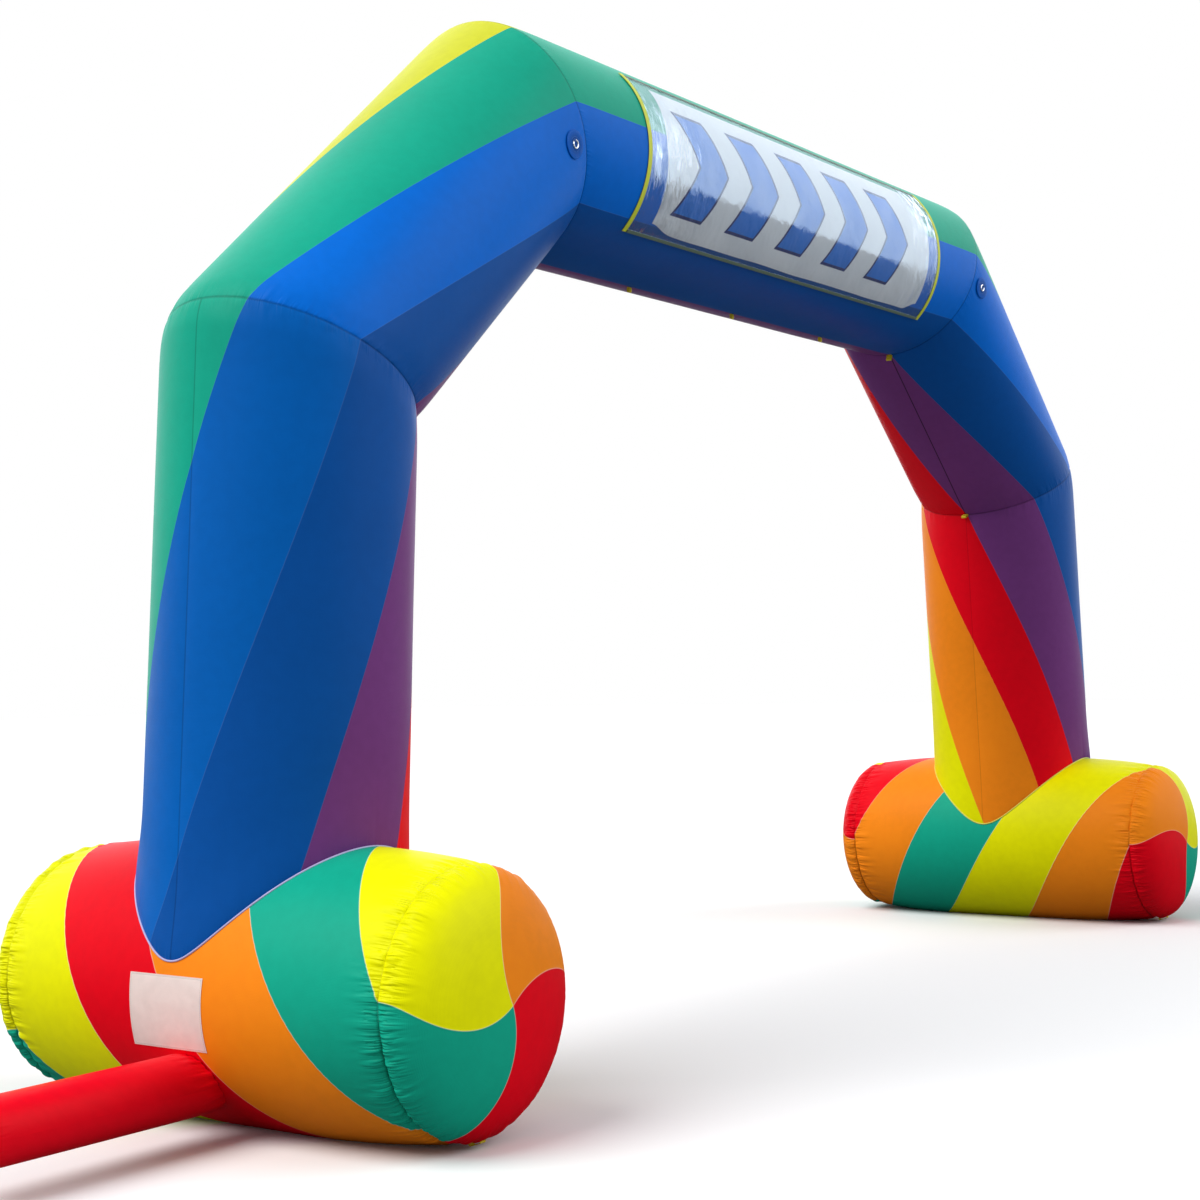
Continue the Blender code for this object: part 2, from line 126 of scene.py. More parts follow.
@dataclass(frozen=True)
class ArchPlan:
    """Driving sizes of the arch, read from the frame where it shows them."""

    tube_r: float = 0.400
    lean: float = math.radians(3.2)
    knee_z: float = 2.27
    beam_z: float = 3.22
    beam_half: float = 1.62
    foot_straight: float = 0.250
    middle_x: float = field(default_factory=lambda: middle(*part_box("beam")).x)
    foot_x: float = field(
        default_factory=lambda: (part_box("foot_right")[1].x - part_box("foot_left")[0].x) / 2
        - span(*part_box("foot_left")).x / 2
    )
    foot_r: float = field(default_factory=lambda: span(*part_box("foot_left")).x / 2)
    foot_seam_y: float = field(default_factory=lambda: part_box("foot_left")[1].y)
    foot_top: float = field(default_factory=lambda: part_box("foot_left")[1].z)
    foot_seam_r: float = field(default_factory=lambda: span(*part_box("cap_front_left")).x / 2)
    cap_depth: float = field(default_factory=lambda: span(*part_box("cap_front_left")).y)

    @property
    def foot_axis_z(self) -> float:
        """Height of a foot's axis."""
        return self.foot_top - self.foot_r

    def foot(self, hand: Hand) -> Vector:
        """Centre of a foot."""
        return Vector((self.middle_x + hand.value * self.foot_x, 0.0, self.foot_axis_z))

    def knee(self, hand: Hand) -> Vector:
        """Where a leg's and a shoulder's centre lines meet."""
        reach = self.foot_x - math.tan(self.lean) * (self.knee_z - self.foot_axis_z)
        return Vector((self.middle_x + hand.value * reach, 0.0, self.knee_z))

    def corner(self, hand: Hand) -> Vector:
        """Where a shoulder's and the beam's centre lines meet."""
        return Vector((self.middle_x + hand.value * self.beam_half, 0.0, self.beam_z))

    def foot_radius(self, y: float) -> float:
        """Radius of a barrel foot at a distance from its middle."""
        past = max(0.0, abs(y) - self.foot_straight)
        share = past / (self.foot_seam_y - self.foot_straight)
        return self.foot_r - (self.foot_r - self.foot_seam_r) * share**2


def middle(low: Vector, high: Vector) -> Vector:
    """Centre of a box."""
    return (low + high) / 2


def span(low: Vector, high: Vector) -> Vector:
    """Size of a box."""
    return high - low


def extent(ends: Ends) -> float:
    """Length between two ends."""
    return ends[1] - ends[0]


def part_way(ends: Ends, share: float) -> float:
    """Value at a share of the way between two ends."""
    return ends[0] + extent(ends) * share


def from_edge(share: float) -> float:
    """How far a share lies from the nearer end, as a share."""
    return min(share, 1.0 - share)


def bell(value: float, reach: float) -> float:
    """Bell curve that is 1 at 0 and fades over a reach."""
    return math.exp(-((value / reach) ** 2))


def crowd(share: float, packing: float) -> float:
    """A share moved towards the nearer end, so that faces crowd at both seams."""
    return share - packing * math.sin(math.tau * share) / math.tau


def opaque(tone: Rgb, share: float = 1.0) -> tuple[float, float, float, float]:
    """A colour darkened to a share of itself, with full alpha."""
    return (*(share * value for value in tone), 1.0)


def smooth(low: float, high: float, value: float) -> float:
    """Smooth step from 0 at low to 1 at high."""
    share = min(1.0, max(0.0, (value - low) / (high - low)))
    return share * share * (3.0 - 2.0 * share)


def fold_noise(angle: float, folds: float, drift: float, seed: float) -> float:
    """Noise round a seam whose folds run across it.

    Args:
        angle: place round the seam, in radians.
        folds: radius of the noise's circle, which sets how many folds there are.
        drift: how far the folds have wandered, growing with the distance from the seam.
        seed: which seam this is.

    Returns:
        Height from about -1 to 1, with narrow valleys between rounder ridges.
    """
    place = Vector((math.cos(angle) * folds, math.sin(angle) * folds, seed + drift))
    wave = noise.noise(place)
    valley = max(0.0, 1.0 - abs(wave) * FOLD_STEEPNESS) ** FOLD_SHARPNESS
    return RIDGE_SHARE * wave - VALLEY_SHARE * valley


@dataclass(frozen=True)
class SeamPull:
    """How a sewn seam draws in and puckers the cloth beside it.

    The pull fades over its reach. The crease is the narrow groove at the seam, and the
    rounding takes off the outer side. Puckers rise beside the seam and drift away from
    it. The flare spreads the cloth instead, on the outer and the inner side.
    """

    depth: float = 0.008
    reach: float = 0.070
    crease: float = 0.003
    crease_reach: float = 0.008
    round_depth: float = 0.0
    round_reach: float = 0.085
    pucker: float = 0.0020
    pucker_reach: float = 0.055
    pucker_end: float = 3.5
    pucker_rise: float = 0.006
    folds: float = 18.0
    drift: float = 6.0
    flare_outer: float = 0.0
    flare_inner: float = 0.0
    flare_back: float = 0.4
    flare_reach: float = 0.130
    seed: float = 0.0

    def inset(self, angle: float, gap: float) -> float:
        """How far the cloth lies inwards.

        Args:
            angle: place round the tube.
            gap: distance from the seam along the cloth.

        Returns:
            Metres towards the centre line.
        """
        pull = self.depth * bell(gap, self.reach)
        pull += self.crease * math.exp(-gap / self.crease_reach)
        outer = max(0.0, -math.sin(angle))
        inner = max(0.0, math.sin(angle))
        rounded = max(0.0, 1.0 - gap / self.round_reach) ** 2
        pull += self.round_depth * outer * rounded
        behind = 1.0 + self.flare_back * max(0.0, -math.cos(angle))
        flare = self.flare_outer * math.sqrt(outer) * behind
        flare += self.flare_inner * math.sqrt(inner)
        pull -= flare * bell(gap, self.flare_reach)
        if self.pucker and gap < self.pucker_end * self.pucker_reach:
            rise = 1.0 - math.exp(-gap / self.pucker_rise)
            folds = fold_noise(angle, self.folds, gap * self.drift, self.seed)
            pull -= self.pucker * rise * bell(gap, self.pucker_reach) * folds
        return pull


@dataclass(frozen=True)
class TubeAxis:
    """A straight centre line with the direction of its quarter turn."""

    start: Vector
    end: Vector
    inward: Vector

    @property
    def along(self) -> Vector:
        """Unit direction from the start to the end."""
        return (self.end - self.start).normalized()

    def spoke(self, angle: float) -> Vector:
        """Unit direction out from the centre line at an angle."""
        return FRONT * math.cos(angle) + self.inward * math.sin(angle)

    def at(self, run: float, angle: float, radius: float) -> Vector:
        """A point at a run along the line, an angle round it and a radius out."""
        return self.start + self.along * run + self.spoke(angle) * radius

    @classmethod
    def between(cls, start: Vector, end: Vector, inside: Vector) -> "TubeAxis":
        """An axis whose quarter turn faces a point inside the arch.

        Args:
            start: where the centre line starts.
            end: where it ends.
            inside: a point inside the arch.

        Returns:
            The axis.
        """
        along = (end - start).normalized()
        towards = inside - start
        return cls(start, end, (towards - along * towards.dot(along)).normalized())


def leg_axis(plan: ArchPlan, hand: Hand) -> TubeAxis:
    """A leg's centre line, from its foot's axis to the knee."""
    return TubeAxis.between(plan.foot(hand), plan.knee(hand), plan.foot(hand.other))


def shoulder_axis(plan: ArchPlan, hand: Hand) -> TubeAxis:
    """A shoulder's centre line, from the knee to the beam's corner."""
    return TubeAxis.between(plan.knee(hand), plan.corner(hand), ALONG * plan.middle_x)


Rim = Callable[[float, float], float]
BandLaw = Callable[[float, float], float]


@dataclass(frozen=True)
class Join:
    """Where one colour starts round a tube, in degrees from the front.

    The tone starts at knee on the seam between leg and shoulder. It turns by twist for
    each metre down the leg, less bend for each square metre, and by sweep on its way
    along the shoulder.
    """

    tone: Tone
    knee: float
    twist: float
    bend: float
    sweep: float

    def on_leg(self, way: float) -> float:
        """Angle at a distance from the knee."""
        return self.knee - self.twist * way + self.bend * way * way

    def on_shoulder(self, share: float) -> float:
        """Angle at a share of the way from knee to corner."""
        return self.knee + self.sweep * share


JOINS = (
    Join(Tone.INDIGO, -14.0, 38.0, -5.0, 53.5),
    Join(Tone.PURPLE, 37.4, 50.0, 3.0, 52.0),
    Join(Tone.RED, 88.9, 64.0, 9.0, 50.0),
    Join(Tone.ORANGE, 141.5, 92.0, 19.0, 54.0),
    Join(Tone.YELLOW, 191.8, 74.0, 6.0, 56.4),
    Join(Tone.GREEN, 226.0, 52.0, 2.0, 73.6),
    Join(Tone.BLUE, 294.6, 50.0, 0.0, 55.4),
)


def band_among(starts: list[float], angle: float) -> float:
    """Which band an angle lies in, and how far across it.

    Args:
        starts: angle where each band starts, rising, all within one turn.
        angle: the angle.

    Returns:
        The band's index plus the share of its width.
    """
    lifted = starts[0] + (angle - starts[0]) % TURN
    for index, low in enumerate(starts):
        high = starts[index + 1] if index + 1 < len(starts) else starts[0] + TURN
        if lifted < high:
            return index + (lifted - low) / (high - low)
    return float(len(starts))


@dataclass(frozen=True)
class PanelJoin:
    """Where one panel starts along a foot.

    The start is its place where the turn is 0, in metres from the middle. The lead is
    added for each degree of turn, and the bow for each square degree.
    """

    tone: Tone
    start: float
    lead: float
    bow: float

    def place(self, angle: float) -> float:
        """Metres from the foot's middle at an angle in degrees."""
        return self.start + self.lead * angle + self.bow * angle * angle


PANEL_JOINS = (
    PanelJoin(Tone.GREEN, 1.320, 0.0049, 0.0),
    PanelJoin(Tone.YELLOW, 0.870, 0.0049, 0.0),
    PanelJoin(Tone.RED, 0.390, 0.0043, -0.000004),
    PanelJoin(Tone.ORANGE, 0.000, 0.0050, -0.000004),
    PanelJoin(Tone.GREEN, -0.440, 0.0053, -0.0000034),
    PanelJoin(Tone.YELLOW, -0.7904, 0.00378, 0.0000029),
    PanelJoin(Tone.ORANGE, -1.240, 0.0045, 0.0),
    PanelJoin(Tone.RED, -1.304, 0.00304, 0.0),
    PanelJoin(Tone.GREEN, -2.080, 0.0045, 0.0),
)


def foot_band(turn: float, y: float) -> float:
    """Which panel of a foot a place lies in, and how far across it."""
    starts = [join.place(TURN * turn) for join in PANEL_JOINS]
    for index in range(len(starts) - 1):
        if y > starts[index + 1]:
            return index + (starts[index] - y) / (starts[index] - starts[index + 1])
    return len(starts) - 1 - TIP


def plane_rim(axis: TubeAxis, point: Vector, normal: Vector) -> Rim:
    """A rim where a plane crosses a tube.

    Args:
        axis: the tube's centre line.
        point: a point on the plane.
        normal: the plane's normal.

    Returns:
        A function from angle and radius to the run along the centre line.
    """
    height = (point - axis.start).dot(normal)
    slope = axis.along.dot(normal)
    return lambda angle, radius: (height - radius * axis.spoke(angle).dot(normal)) / slope


def saddle_rim(plan: ArchPlan) -> Rim:
    """The rim where a leg, whose centre line starts in the foot's axis, meets the foot.

    Args:
        plan: the arch's sizes.

    Returns:
        A function from angle and radius to the run along the leg.
    """
    def run(angle: float, radius: float) -> float:
        """Run along the leg at which it meets the barrel."""
        barrel = plan.foot_radius(radius * math.cos(angle)) + GAP
        across = radius * math.sin(angle)
        return math.sqrt(max(0.0, barrel**2 - across**2))

    return run


def draw_out(
    bm: bmesh.types.BMesh, edges: list[bmesh.types.BMEdge], way: Vector
) -> set[bmesh.types.BMVert]:
    """Extrude edges along a way.

    Args:
        bm: the bmesh.
        edges: its edges.
        way: how far and which way they go.

    Returns:
        The new vertices.
    """
    grown = bmesh.ops.extrude_edge_only(bm, edges=edges)["geom"]
    moved = {item for item in grown if isinstance(item, bmesh.types.BMVert)}
    bmesh.ops.translate(bm, verts=list(moved), vec=way)
    return moved


@dataclass
class ClothShape:
    """A bmesh that keeps, for each vertex, its turn and run and its distance to a seam."""

    bm: bmesh.types.BMesh = field(default_factory=bmesh.new)

    def __post_init__(self) -> None:
        """Add the layers that the finishes read."""
        self.turn = self.bm.verts.layers.float.new("turn")
        self.run = self.bm.verts.layers.float.new("run")
        self.way = self.bm.verts.layers.float.new("way")
        self.seam = self.bm.verts.layers.float.new("seam_gap")

    def strip(self, segments: int, rows: int) -> list[bmesh.types.BMVert]:
        """A closed strip one unit tall: a circle drawn up and cut into rows.

        Args:
            segments: number of faces round the strip.
            rows: number of faces from its lower to its upper rim.

        Returns:
            Its vertices, whose X and Y hold the angle and whose Z holds the share.
        """
        bmesh.ops.create_circle(self.bm, segments=segments, radius=1.0)
        upper = draw_out(self.bm, self.bm.edges[:], UP)
        risers = [e for e in self.bm.edges if (e.verts[0] in upper) != (e.verts[1] in upper)]
        bmesh.ops.subdivide_edges(self.bm, edges=risers, cuts=rows - 1)
        return self.bm.verts[:]

    def close_ends(self) -> None:
        """Fill the open rims, which lie hidden inside the arch."""
        rims = [edge for edge in self.bm.edges if edge.is_boundary]
        bmesh.ops.holes_fill(self.bm, edges=rims)

    def write_uv(self, law: BandLaw | None = None) -> None:
        """Turn, run and band as the piece's own maps, without a jump inside any face.

        Args:
            law: from turn and way to the band, if the piece has bands.
        """
        uv = self.bm.loops.layers.uv.new("turn_run")
        bands = self.bm.loops.layers.uv.new("band") if law else None
        for face in self.bm.faces:
            turns = self.face_turns(face)
            for loop, turn in zip(face.loops, turns):
                loop[uv].uv = (turn, loop.vert[self.run])
            if law is None:
                continue
            values = [law(turn, loop.vert[self.way]) for loop, turn in zip(face.loops, turns)]
            for loop, value in zip(face.loops, lift_wrap(values, float(len(JOINS)))):
                loop[bands].uv = (value, 0.0)

    def face_turns(self, face: bmesh.types.BMFace) -> list[float]:
        """Turns round a face, with a pole's set midway between its neighbours'."""
        verts = [loop.vert for loop in face.loops]
        poles = [len(vert.link_faces) > POLE_FACES for vert in verts]
        if not any(poles) or all(poles):
            return lift_wrap([vert[self.turn] for vert in verts], 1.0)
        rim = lift_wrap([v[self.turn] for v, pole in zip(verts, poles) if not pole], 1.0)
        midway = sum(rim) / len(rim)
        left = iter(rim)
        return [midway if pole else next(left) for pole in poles]

    def finish(self, name: str, law: BandLaw | None = None) -> bpy.types.Object:
        """Make an object of the shape, smooth and facing outwards."""
        self.write_uv(law)
        bmesh.ops.recalc_face_normals(self.bm, faces=self.bm.faces)
        return mesh_object(name, self.bm)

    def finish_sheet(self, name: str, thickness: float, outward: Vector) -> bpy.types.Object:
        """Make a thin sheet of the shape, thickened inwards.

        Args:
            name: the piece's name.
            thickness: how thick it is.
            outward: roughly the way its first face looks.

        Returns:
            The piece.
        """
        self.write_uv()
        self.bm.faces.ensure_lookup_table()
        if self.bm.faces[0].normal.dot(outward) < 0.0:
            bmesh.ops.reverse_faces(self.bm, faces=self.bm.faces)
        bmesh.ops.solidify(self.bm, geom=self.bm.faces[:], thickness=-thickness)
        bmesh.ops.recalc_face_normals(self.bm, faces=self.bm.faces)
        return mesh_object(name, self.bm)


def lift_wrap(values: list[float], period: float) -> list[float]:
    """Values round a face, lifted by a period where the face crosses the jump."""
    low = min(values)
    if max(values) - low <= period / 2:
        return values
    return [value + period if value < low + period / 2 else value for value in values]


def mesh_object(name: str, bm: bmesh.types.BMesh) -> bpy.types.Object:
    """Make a smooth-shaded object of a bmesh and free it.

    Args:
        name: the piece's name.
        bm: the bmesh.

    Returns:
        The object, linked to the scene.
    """
    mesh = bpy.data.meshes.new(name)
    bm.to_mesh(mesh)
    bm.free()
    mesh.shade_smooth()
    mesh.set_sharp_from_angle(angle=SHARP)
    made = bpy.data.objects.new(name, mesh)
    bpy.context.scene.collection.objects.link(made)
    return made


def dress(
    piece: bpy.types.Object, material: bpy.types.Material, slot: str, *nodes: str
) -> bpy.types.Object:
    """Give a piece its finish, its body and the nodes it stands for.

    Args:
        piece: the piece.
        material: its finish.
        slot: the record's material slot; not used.
        nodes: the nodes that it replaces.

    Returns:
        The piece.
    """
    piece.data.materials.append(material)
    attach(piece, BODY)
    if nodes:
        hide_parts(*nodes)
    LOG.info("%s: %d faces", piece.name, len(piece.data.polygons))
    return piece


def axes_matrix(origin: Vector, x_axis: Vector, z_axis: Vector) -> Matrix:
    """A placement from its origin, its X axis and its Z axis."""
    z_axis = z_axis.normalized()
    x_axis = x_axis.normalized()
    columns = Matrix((x_axis, z_axis.cross(x_axis), z_axis)).transposed()
    return Matrix.Translation(origin) @ columns.to_4x4()


Socket = bpy.types.NodeSocket
Input = Socket | float


@dataclass
class Graph:
    """Adds and links nodes in one node tree."""

    tree: bpy.types.NodeTree

    def node(self, kind: str, **settings: object) -> bpy.types.Node:
        """Add a node of a kind and set its own properties."""
        made = self.tree.nodes.new(kind)
        for name, value in settings.items():
            setattr(made, name, value)
        return made

    def put(self, target: Socket, value: Input | tuple[float, ...]) -> None:
        """Link a socket, or set the target's own value."""
        if isinstance(value, bpy.types.NodeSocket):
            self.tree.links.new(value, target)
        else:
            target.default_value = value

    def math(self, operation: str, *values: Input, clamp: bool = False) -> Socket:
        """A Math node's result."""
        made = self.node("ShaderNodeMath", operation=operation, use_clamp=clamp)
        for target, value in zip(made.inputs, values):
            self.put(target, value)
        return made.outputs[0]

    def fade(self, value: Input, low: float, high: float, start: float, end: float) -> Socket:
        """A value mapped smoothly from one range to another and held at its ends."""
        made = self.node("ShaderNodeMapRange", interpolation_type="SMOOTHSTEP")
        for target, given in zip(made.inputs, (value, low, high, start, end)):
            self.put(target, given)
        return made.outputs[0]

    def vector(self, x: Input, y: Input, z: Input) -> Socket:
        """Three values as a vector."""
        made = self.node("ShaderNodeCombineXYZ")
        for target, given in zip(made.inputs, (x, y, z)):
            self.put(target, given)
        return made.outputs[0]

    def split(self, vector: Socket) -> tuple[Socket, Socket, Socket]:
        """A vector's three values."""
        made = self.node("ShaderNodeSeparateXYZ")
        self.put(made.inputs[0], vector)
        return made.outputs[0], made.outputs[1], made.outputs[2]

    def noise(self, vector: Socket, scale: float, detail: float = 2.0) -> Socket:
        """A noise texture's value."""
        made = self.node("ShaderNodeTexNoise")
        self.put(made.inputs["Vector"], vector)
        self.put(made.inputs["Scale"], scale)
        self.put(made.inputs["Detail"], detail)
        return made.outputs["Fac"]

    def mix(self, share: Input, first: Input | tuple, second: Input | tuple) -> Socket:
        """Two colours mixed by a share."""
        made = self.node("ShaderNodeMix", data_type="RGBA")
        self.put(made.inputs[0], share)
        self.put(made.inputs[6], first)
        self.put(made.inputs[7], second)
        return made.outputs[2]

    def scale_colour(self, colour: Socket | Rgb, amount: Socket) -> Socket:
        """A colour made lighter or darker by a factor."""
        made = self.node("ShaderNodeVectorMath", operation="SCALE")
        self.put(made.inputs[0], colour)
        self.put(made.inputs["Scale"], amount)
        return made.outputs[0]

    def shader_mix(self, share: Socket, first: bpy.types.Node, second: bpy.types.Node) -> bpy.types.Node:
        """Two shaders mixed by a share."""
        made = self.node("ShaderNodeMixShader")
        for target, given in zip(made.inputs, (share, first.outputs[0], second.outputs[0])):
            self.put(target, given)
        return made

    def steps(self, share: Socket, stops: list[tuple[float, Rgb]]) -> Socket:
        """Colours that each hold up to the next place, with exact edges.

        Args:
            share: the place among them.
            stops: place and linear colour of each, from 0 up.

        Returns:
            The colour socket.
        """
        colour: Input | tuple = opaque(stops[0][1])
        for position, tone in stops[1:]:
            past = self.math("GREATER_THAN", share, position)
            colour = self.mix(past, colour, opaque(tone))
        return colour

    def group(self, tree: bpy.types.NodeTree, **values: Input) -> dict[str, Socket]:
        """Place a node group with its own values.

        Args:
            tree: the group.
            values: what goes into its inputs, by name with underscores for spaces.

        Returns:
            Its outputs by name.
        """
        made = self.node("ShaderNodeGroup", node_tree=tree)
        for name, value in values.items():
            self.put(made.inputs[name.replace("_", " ").capitalize()], value)
        return {output.name: output for output in made.outputs}


def new_group(
    name: str, inputs: dict[str, float | None], outputs: list[str]
) -> tuple[bpy.types.NodeTree, Graph, dict[str, Socket], bpy.types.Node]:
    """Start a shader node group.

    Args:
        name: the group's name.
        inputs: input names with their default, or None for a vector.
        outputs: names of its value outputs.

    Returns:
        The tree, its graph, its inputs by name and its output node.
    """
    tree = bpy.data.node_groups.new(name, "ShaderNodeTree")
    for label, default in inputs.items():
        kind = "NodeSocketVector" if default is None else "NodeSocketFloat"
        made = tree.interface.new_socket(label, in_out="INPUT", socket_type=kind)
        if default is not None:
            made.default_value = default
    for label in outputs:
        tree.interface.new_socket(label, in_out="OUTPUT", socket_type="NodeSocketFloat")
    graph = Graph(tree)
    entry = graph.node("NodeGroupInput")
    leave = graph.node("NodeGroupOutput")
    return tree, graph, {s.name: s for s in entry.outputs}, leave


@dataclass
class Effects:
    """Shader node groups that several finishes share."""

    def __post_init__(self) -> None:
        """Build each group once."""
        self.weave = self._weave()
        self.join = self._join()
        self.pucker = self._pucker()
        self.stitch = self._stitch()

    @staticmethod
    def _weave() -> bpy.types.NodeTree:
        """Fine plain weave, and slow tone changes."""
        tree, g, given, leave = new_group(
            "cloth_weave", {"Place": None, "Thread": 0.004, "Depth": 0.00006}, ["Tone", "Height"]
        )
        x, y, _ = g.split(given["Place"])
        waves = [
            g.math("SINE", g.math("DIVIDE", g.math("MULTIPLY", axis, math.tau), given["Thread"]))
            for axis in (x, y)
        ]
        grid = g.math("MAXIMUM", waves[0], waves[1])
        slow = g.noise(given["Place"], 1.6, 3.0)
        fine = g.noise(given["Place"], 26.0, 2.0)
        tone = g.math("ADD", g.fade(slow, 0.3, 0.7, 0.95, 1.04), g.fade(fine, 0.3, 0.7, -0.02, 0.02))
        g.put(leave.inputs["Tone"], g.math("MULTIPLY_ADD", grid, 0.012, tone))
        g.put(leave.inputs["Height"], g.math("MULTIPLY", grid, given["Depth"]))
        return tree

    @staticmethod
    def _join() -> bpy.types.NodeTree:
        """A flat-felled join between two colour panels: a light line on a low ridge."""
        tree, g, given, leave = new_group(
            "panel_join", {"Distance": 0.0, "Width": 0.003, "Ridge": 0.0005}, ["Line", "Height"]
        )
        near = g.math("DIVIDE", given["Distance"], given["Width"])
        line = g.fade(near, 0.55, 1.0, 1.0, 0.0)
        ridge = g.fade(near, 0.0, 3.5, 1.0, 0.0)
        g.put(leave.inputs["Line"], line)
        g.put(leave.inputs["Height"], g.math("MULTIPLY", ridge, given["Ridge"]))
        return tree

    @staticmethod
    def _pucker() -> bpy.types.NodeTree:
        """Fine gathers that cross a seam and fade out beside it."""
        tree, g, given, leave = new_group(
            "seam_pucker",
            {"Around": 0.0, "Gap": 0.0, "Spacing": 0.016, "Reach": 0.05, "Depth": 0.0010},
            ["Height"],
        )
        across = g.math("DIVIDE", given["Around"], given["Spacing"])
        away = g.math("MULTIPLY", given["Gap"], 5.0)
        wave = g.noise(g.vector(across, away, 0.0), 1.0, 1.0)
        ridge = g.math("ABSOLUTE", g.math("SUBTRACT", wave, 0.5))
        near = g.math("DIVIDE", given["Gap"], given["Reach"])
        fade = g.math("SUBTRACT", g.fade(near, 0.0, 1.0, 1.0, 0.0), g.fade(near, 0.0, 0.1, 0.5, 0.0))
        lift = g.math("MULTIPLY", ridge, fade)
        g.put(leave.inputs["Height"], g.math("MULTIPLY", lift, g.math("MULTIPLY", given["Depth"], 4.0)))
        return tree

    @staticmethod
    def _stitch() -> bpy.types.NodeTree:
        """A row of machine stitches along a line."""
        tree, g, given, leave = new_group(
            "stitch_row",
            {"Along": 0.0, "Across": 0.0, "Pitch": 0.006, "Width": 0.0009},
            ["Thread", "Height"],
        )
        beat = g.math("PINGPONG", g.math("DIVIDE", given["Along"], given["Pitch"]), 0.5)
        dash = g.fade(beat, 0.10, 0.18, 0.0, 1.0)
        near = g.math("DIVIDE", g.math("ABSOLUTE", given["Across"]), given["Width"])
        row = g.fade(near, 0.6, 1.1, 1.0, 0.0)
        dip = g.fade(near, 0.0, 4.0, 1.0, 0.0)
        thread = g.math("MULTIPLY", dash, row)
        g.put(leave.inputs["Thread"], thread)
        g.put(
            leave.inputs["Height"],
            g.math("MULTIPLY_ADD", thread, 0.0003, g.math("MULTIPLY", dip, -0.0004)),
        )
        return tree


@dataclass
class Finish:
    """A Principled material under construction."""

    name: str
    roughness: float = 0.5
    metallic: float = 0.0

    def __post_init__(self) -> None:
        """Start the material with its shader's own constants."""
        self.material = bpy.data.materials.new(self.name)
        self.material.use_nodes = True
        self.graph = Graph(self.material.node_tree)
        self.shader = self.material.node_tree.nodes["Principled BSDF"]
        self.shader.inputs["Roughness"].default_value = self.roughness
        self.shader.inputs["Metallic"].default_value = self.metallic

    def place(self) -> tuple[Socket, Socket]:
        """Turn and run from the piece's own map."""
        made = self.graph.node("ShaderNodeUVMap", uv_map="turn_run")
        turn, run, _ = self.graph.split(made.outputs[0])
        return turn, run

    def unrolled(self, radius: float) -> tuple[Socket, Socket]:
        """Metres round a tube of a radius, and run along it."""
        turn, run = self.place()
        return self.graph.math("MULTIPLY", turn, math.tau * radius), run

    def attribute(self, name: str) -> Socket:
        """A value that the piece carries."""
        return self.graph.node("ShaderNodeAttribute", attribute_name=name).outputs["Fac"]

    def object_place(self) -> Socket:
        """Place in the row frame."""
        return self.graph.node("ShaderNodeTexCoord").outputs["Object"]

    def colour(self, value: Input | tuple) -> None:
        """Set or link the base colour."""
        self.graph.put(self.shader.inputs["Base Color"], value)

    def bump(self, *heights: Socket) -> None:
        """Add heights in metres and bend the normal by them."""
        total = heights[0]
        for height in heights[1:]:
            total = self.graph.math("ADD", total, height)
        made = self.graph.node("ShaderNodeBump")
        made.inputs["Strength"].default_value = 1.0
        made.inputs["Distance"].default_value = 1.0
        self.graph.put(made.inputs["Height"], total)
        self.graph.put(self.shader.inputs["Normal"], made.outputs[0])


@dataclass(frozen=True)
class Stitching:
    """How joins and seams show.

    Joins have the lightness of their line and the height of their ridge, puckers their
    reach and depth. The shade is painted shade that darkens a seam, and the low shade
    is painted shade on its underside.
    """

    light: float
    ridge: float
    reach: float
    depth: float
    shade: float
    low_shade: float


class Sewing(Enum):
    """The ways in which the cloth is sewn."""

    TUBE = Stitching(0.02, 0.00015, 0.045, 0.0012, 0.30, 0.30)
    FOOT = Stitching(0.26, 0.0005, 0.080, 0.0036, 0.05, 0.45)
    CAP = Stitching(0.26, 0.0005, 0.150, 0.0052, 0.05, 0.45)


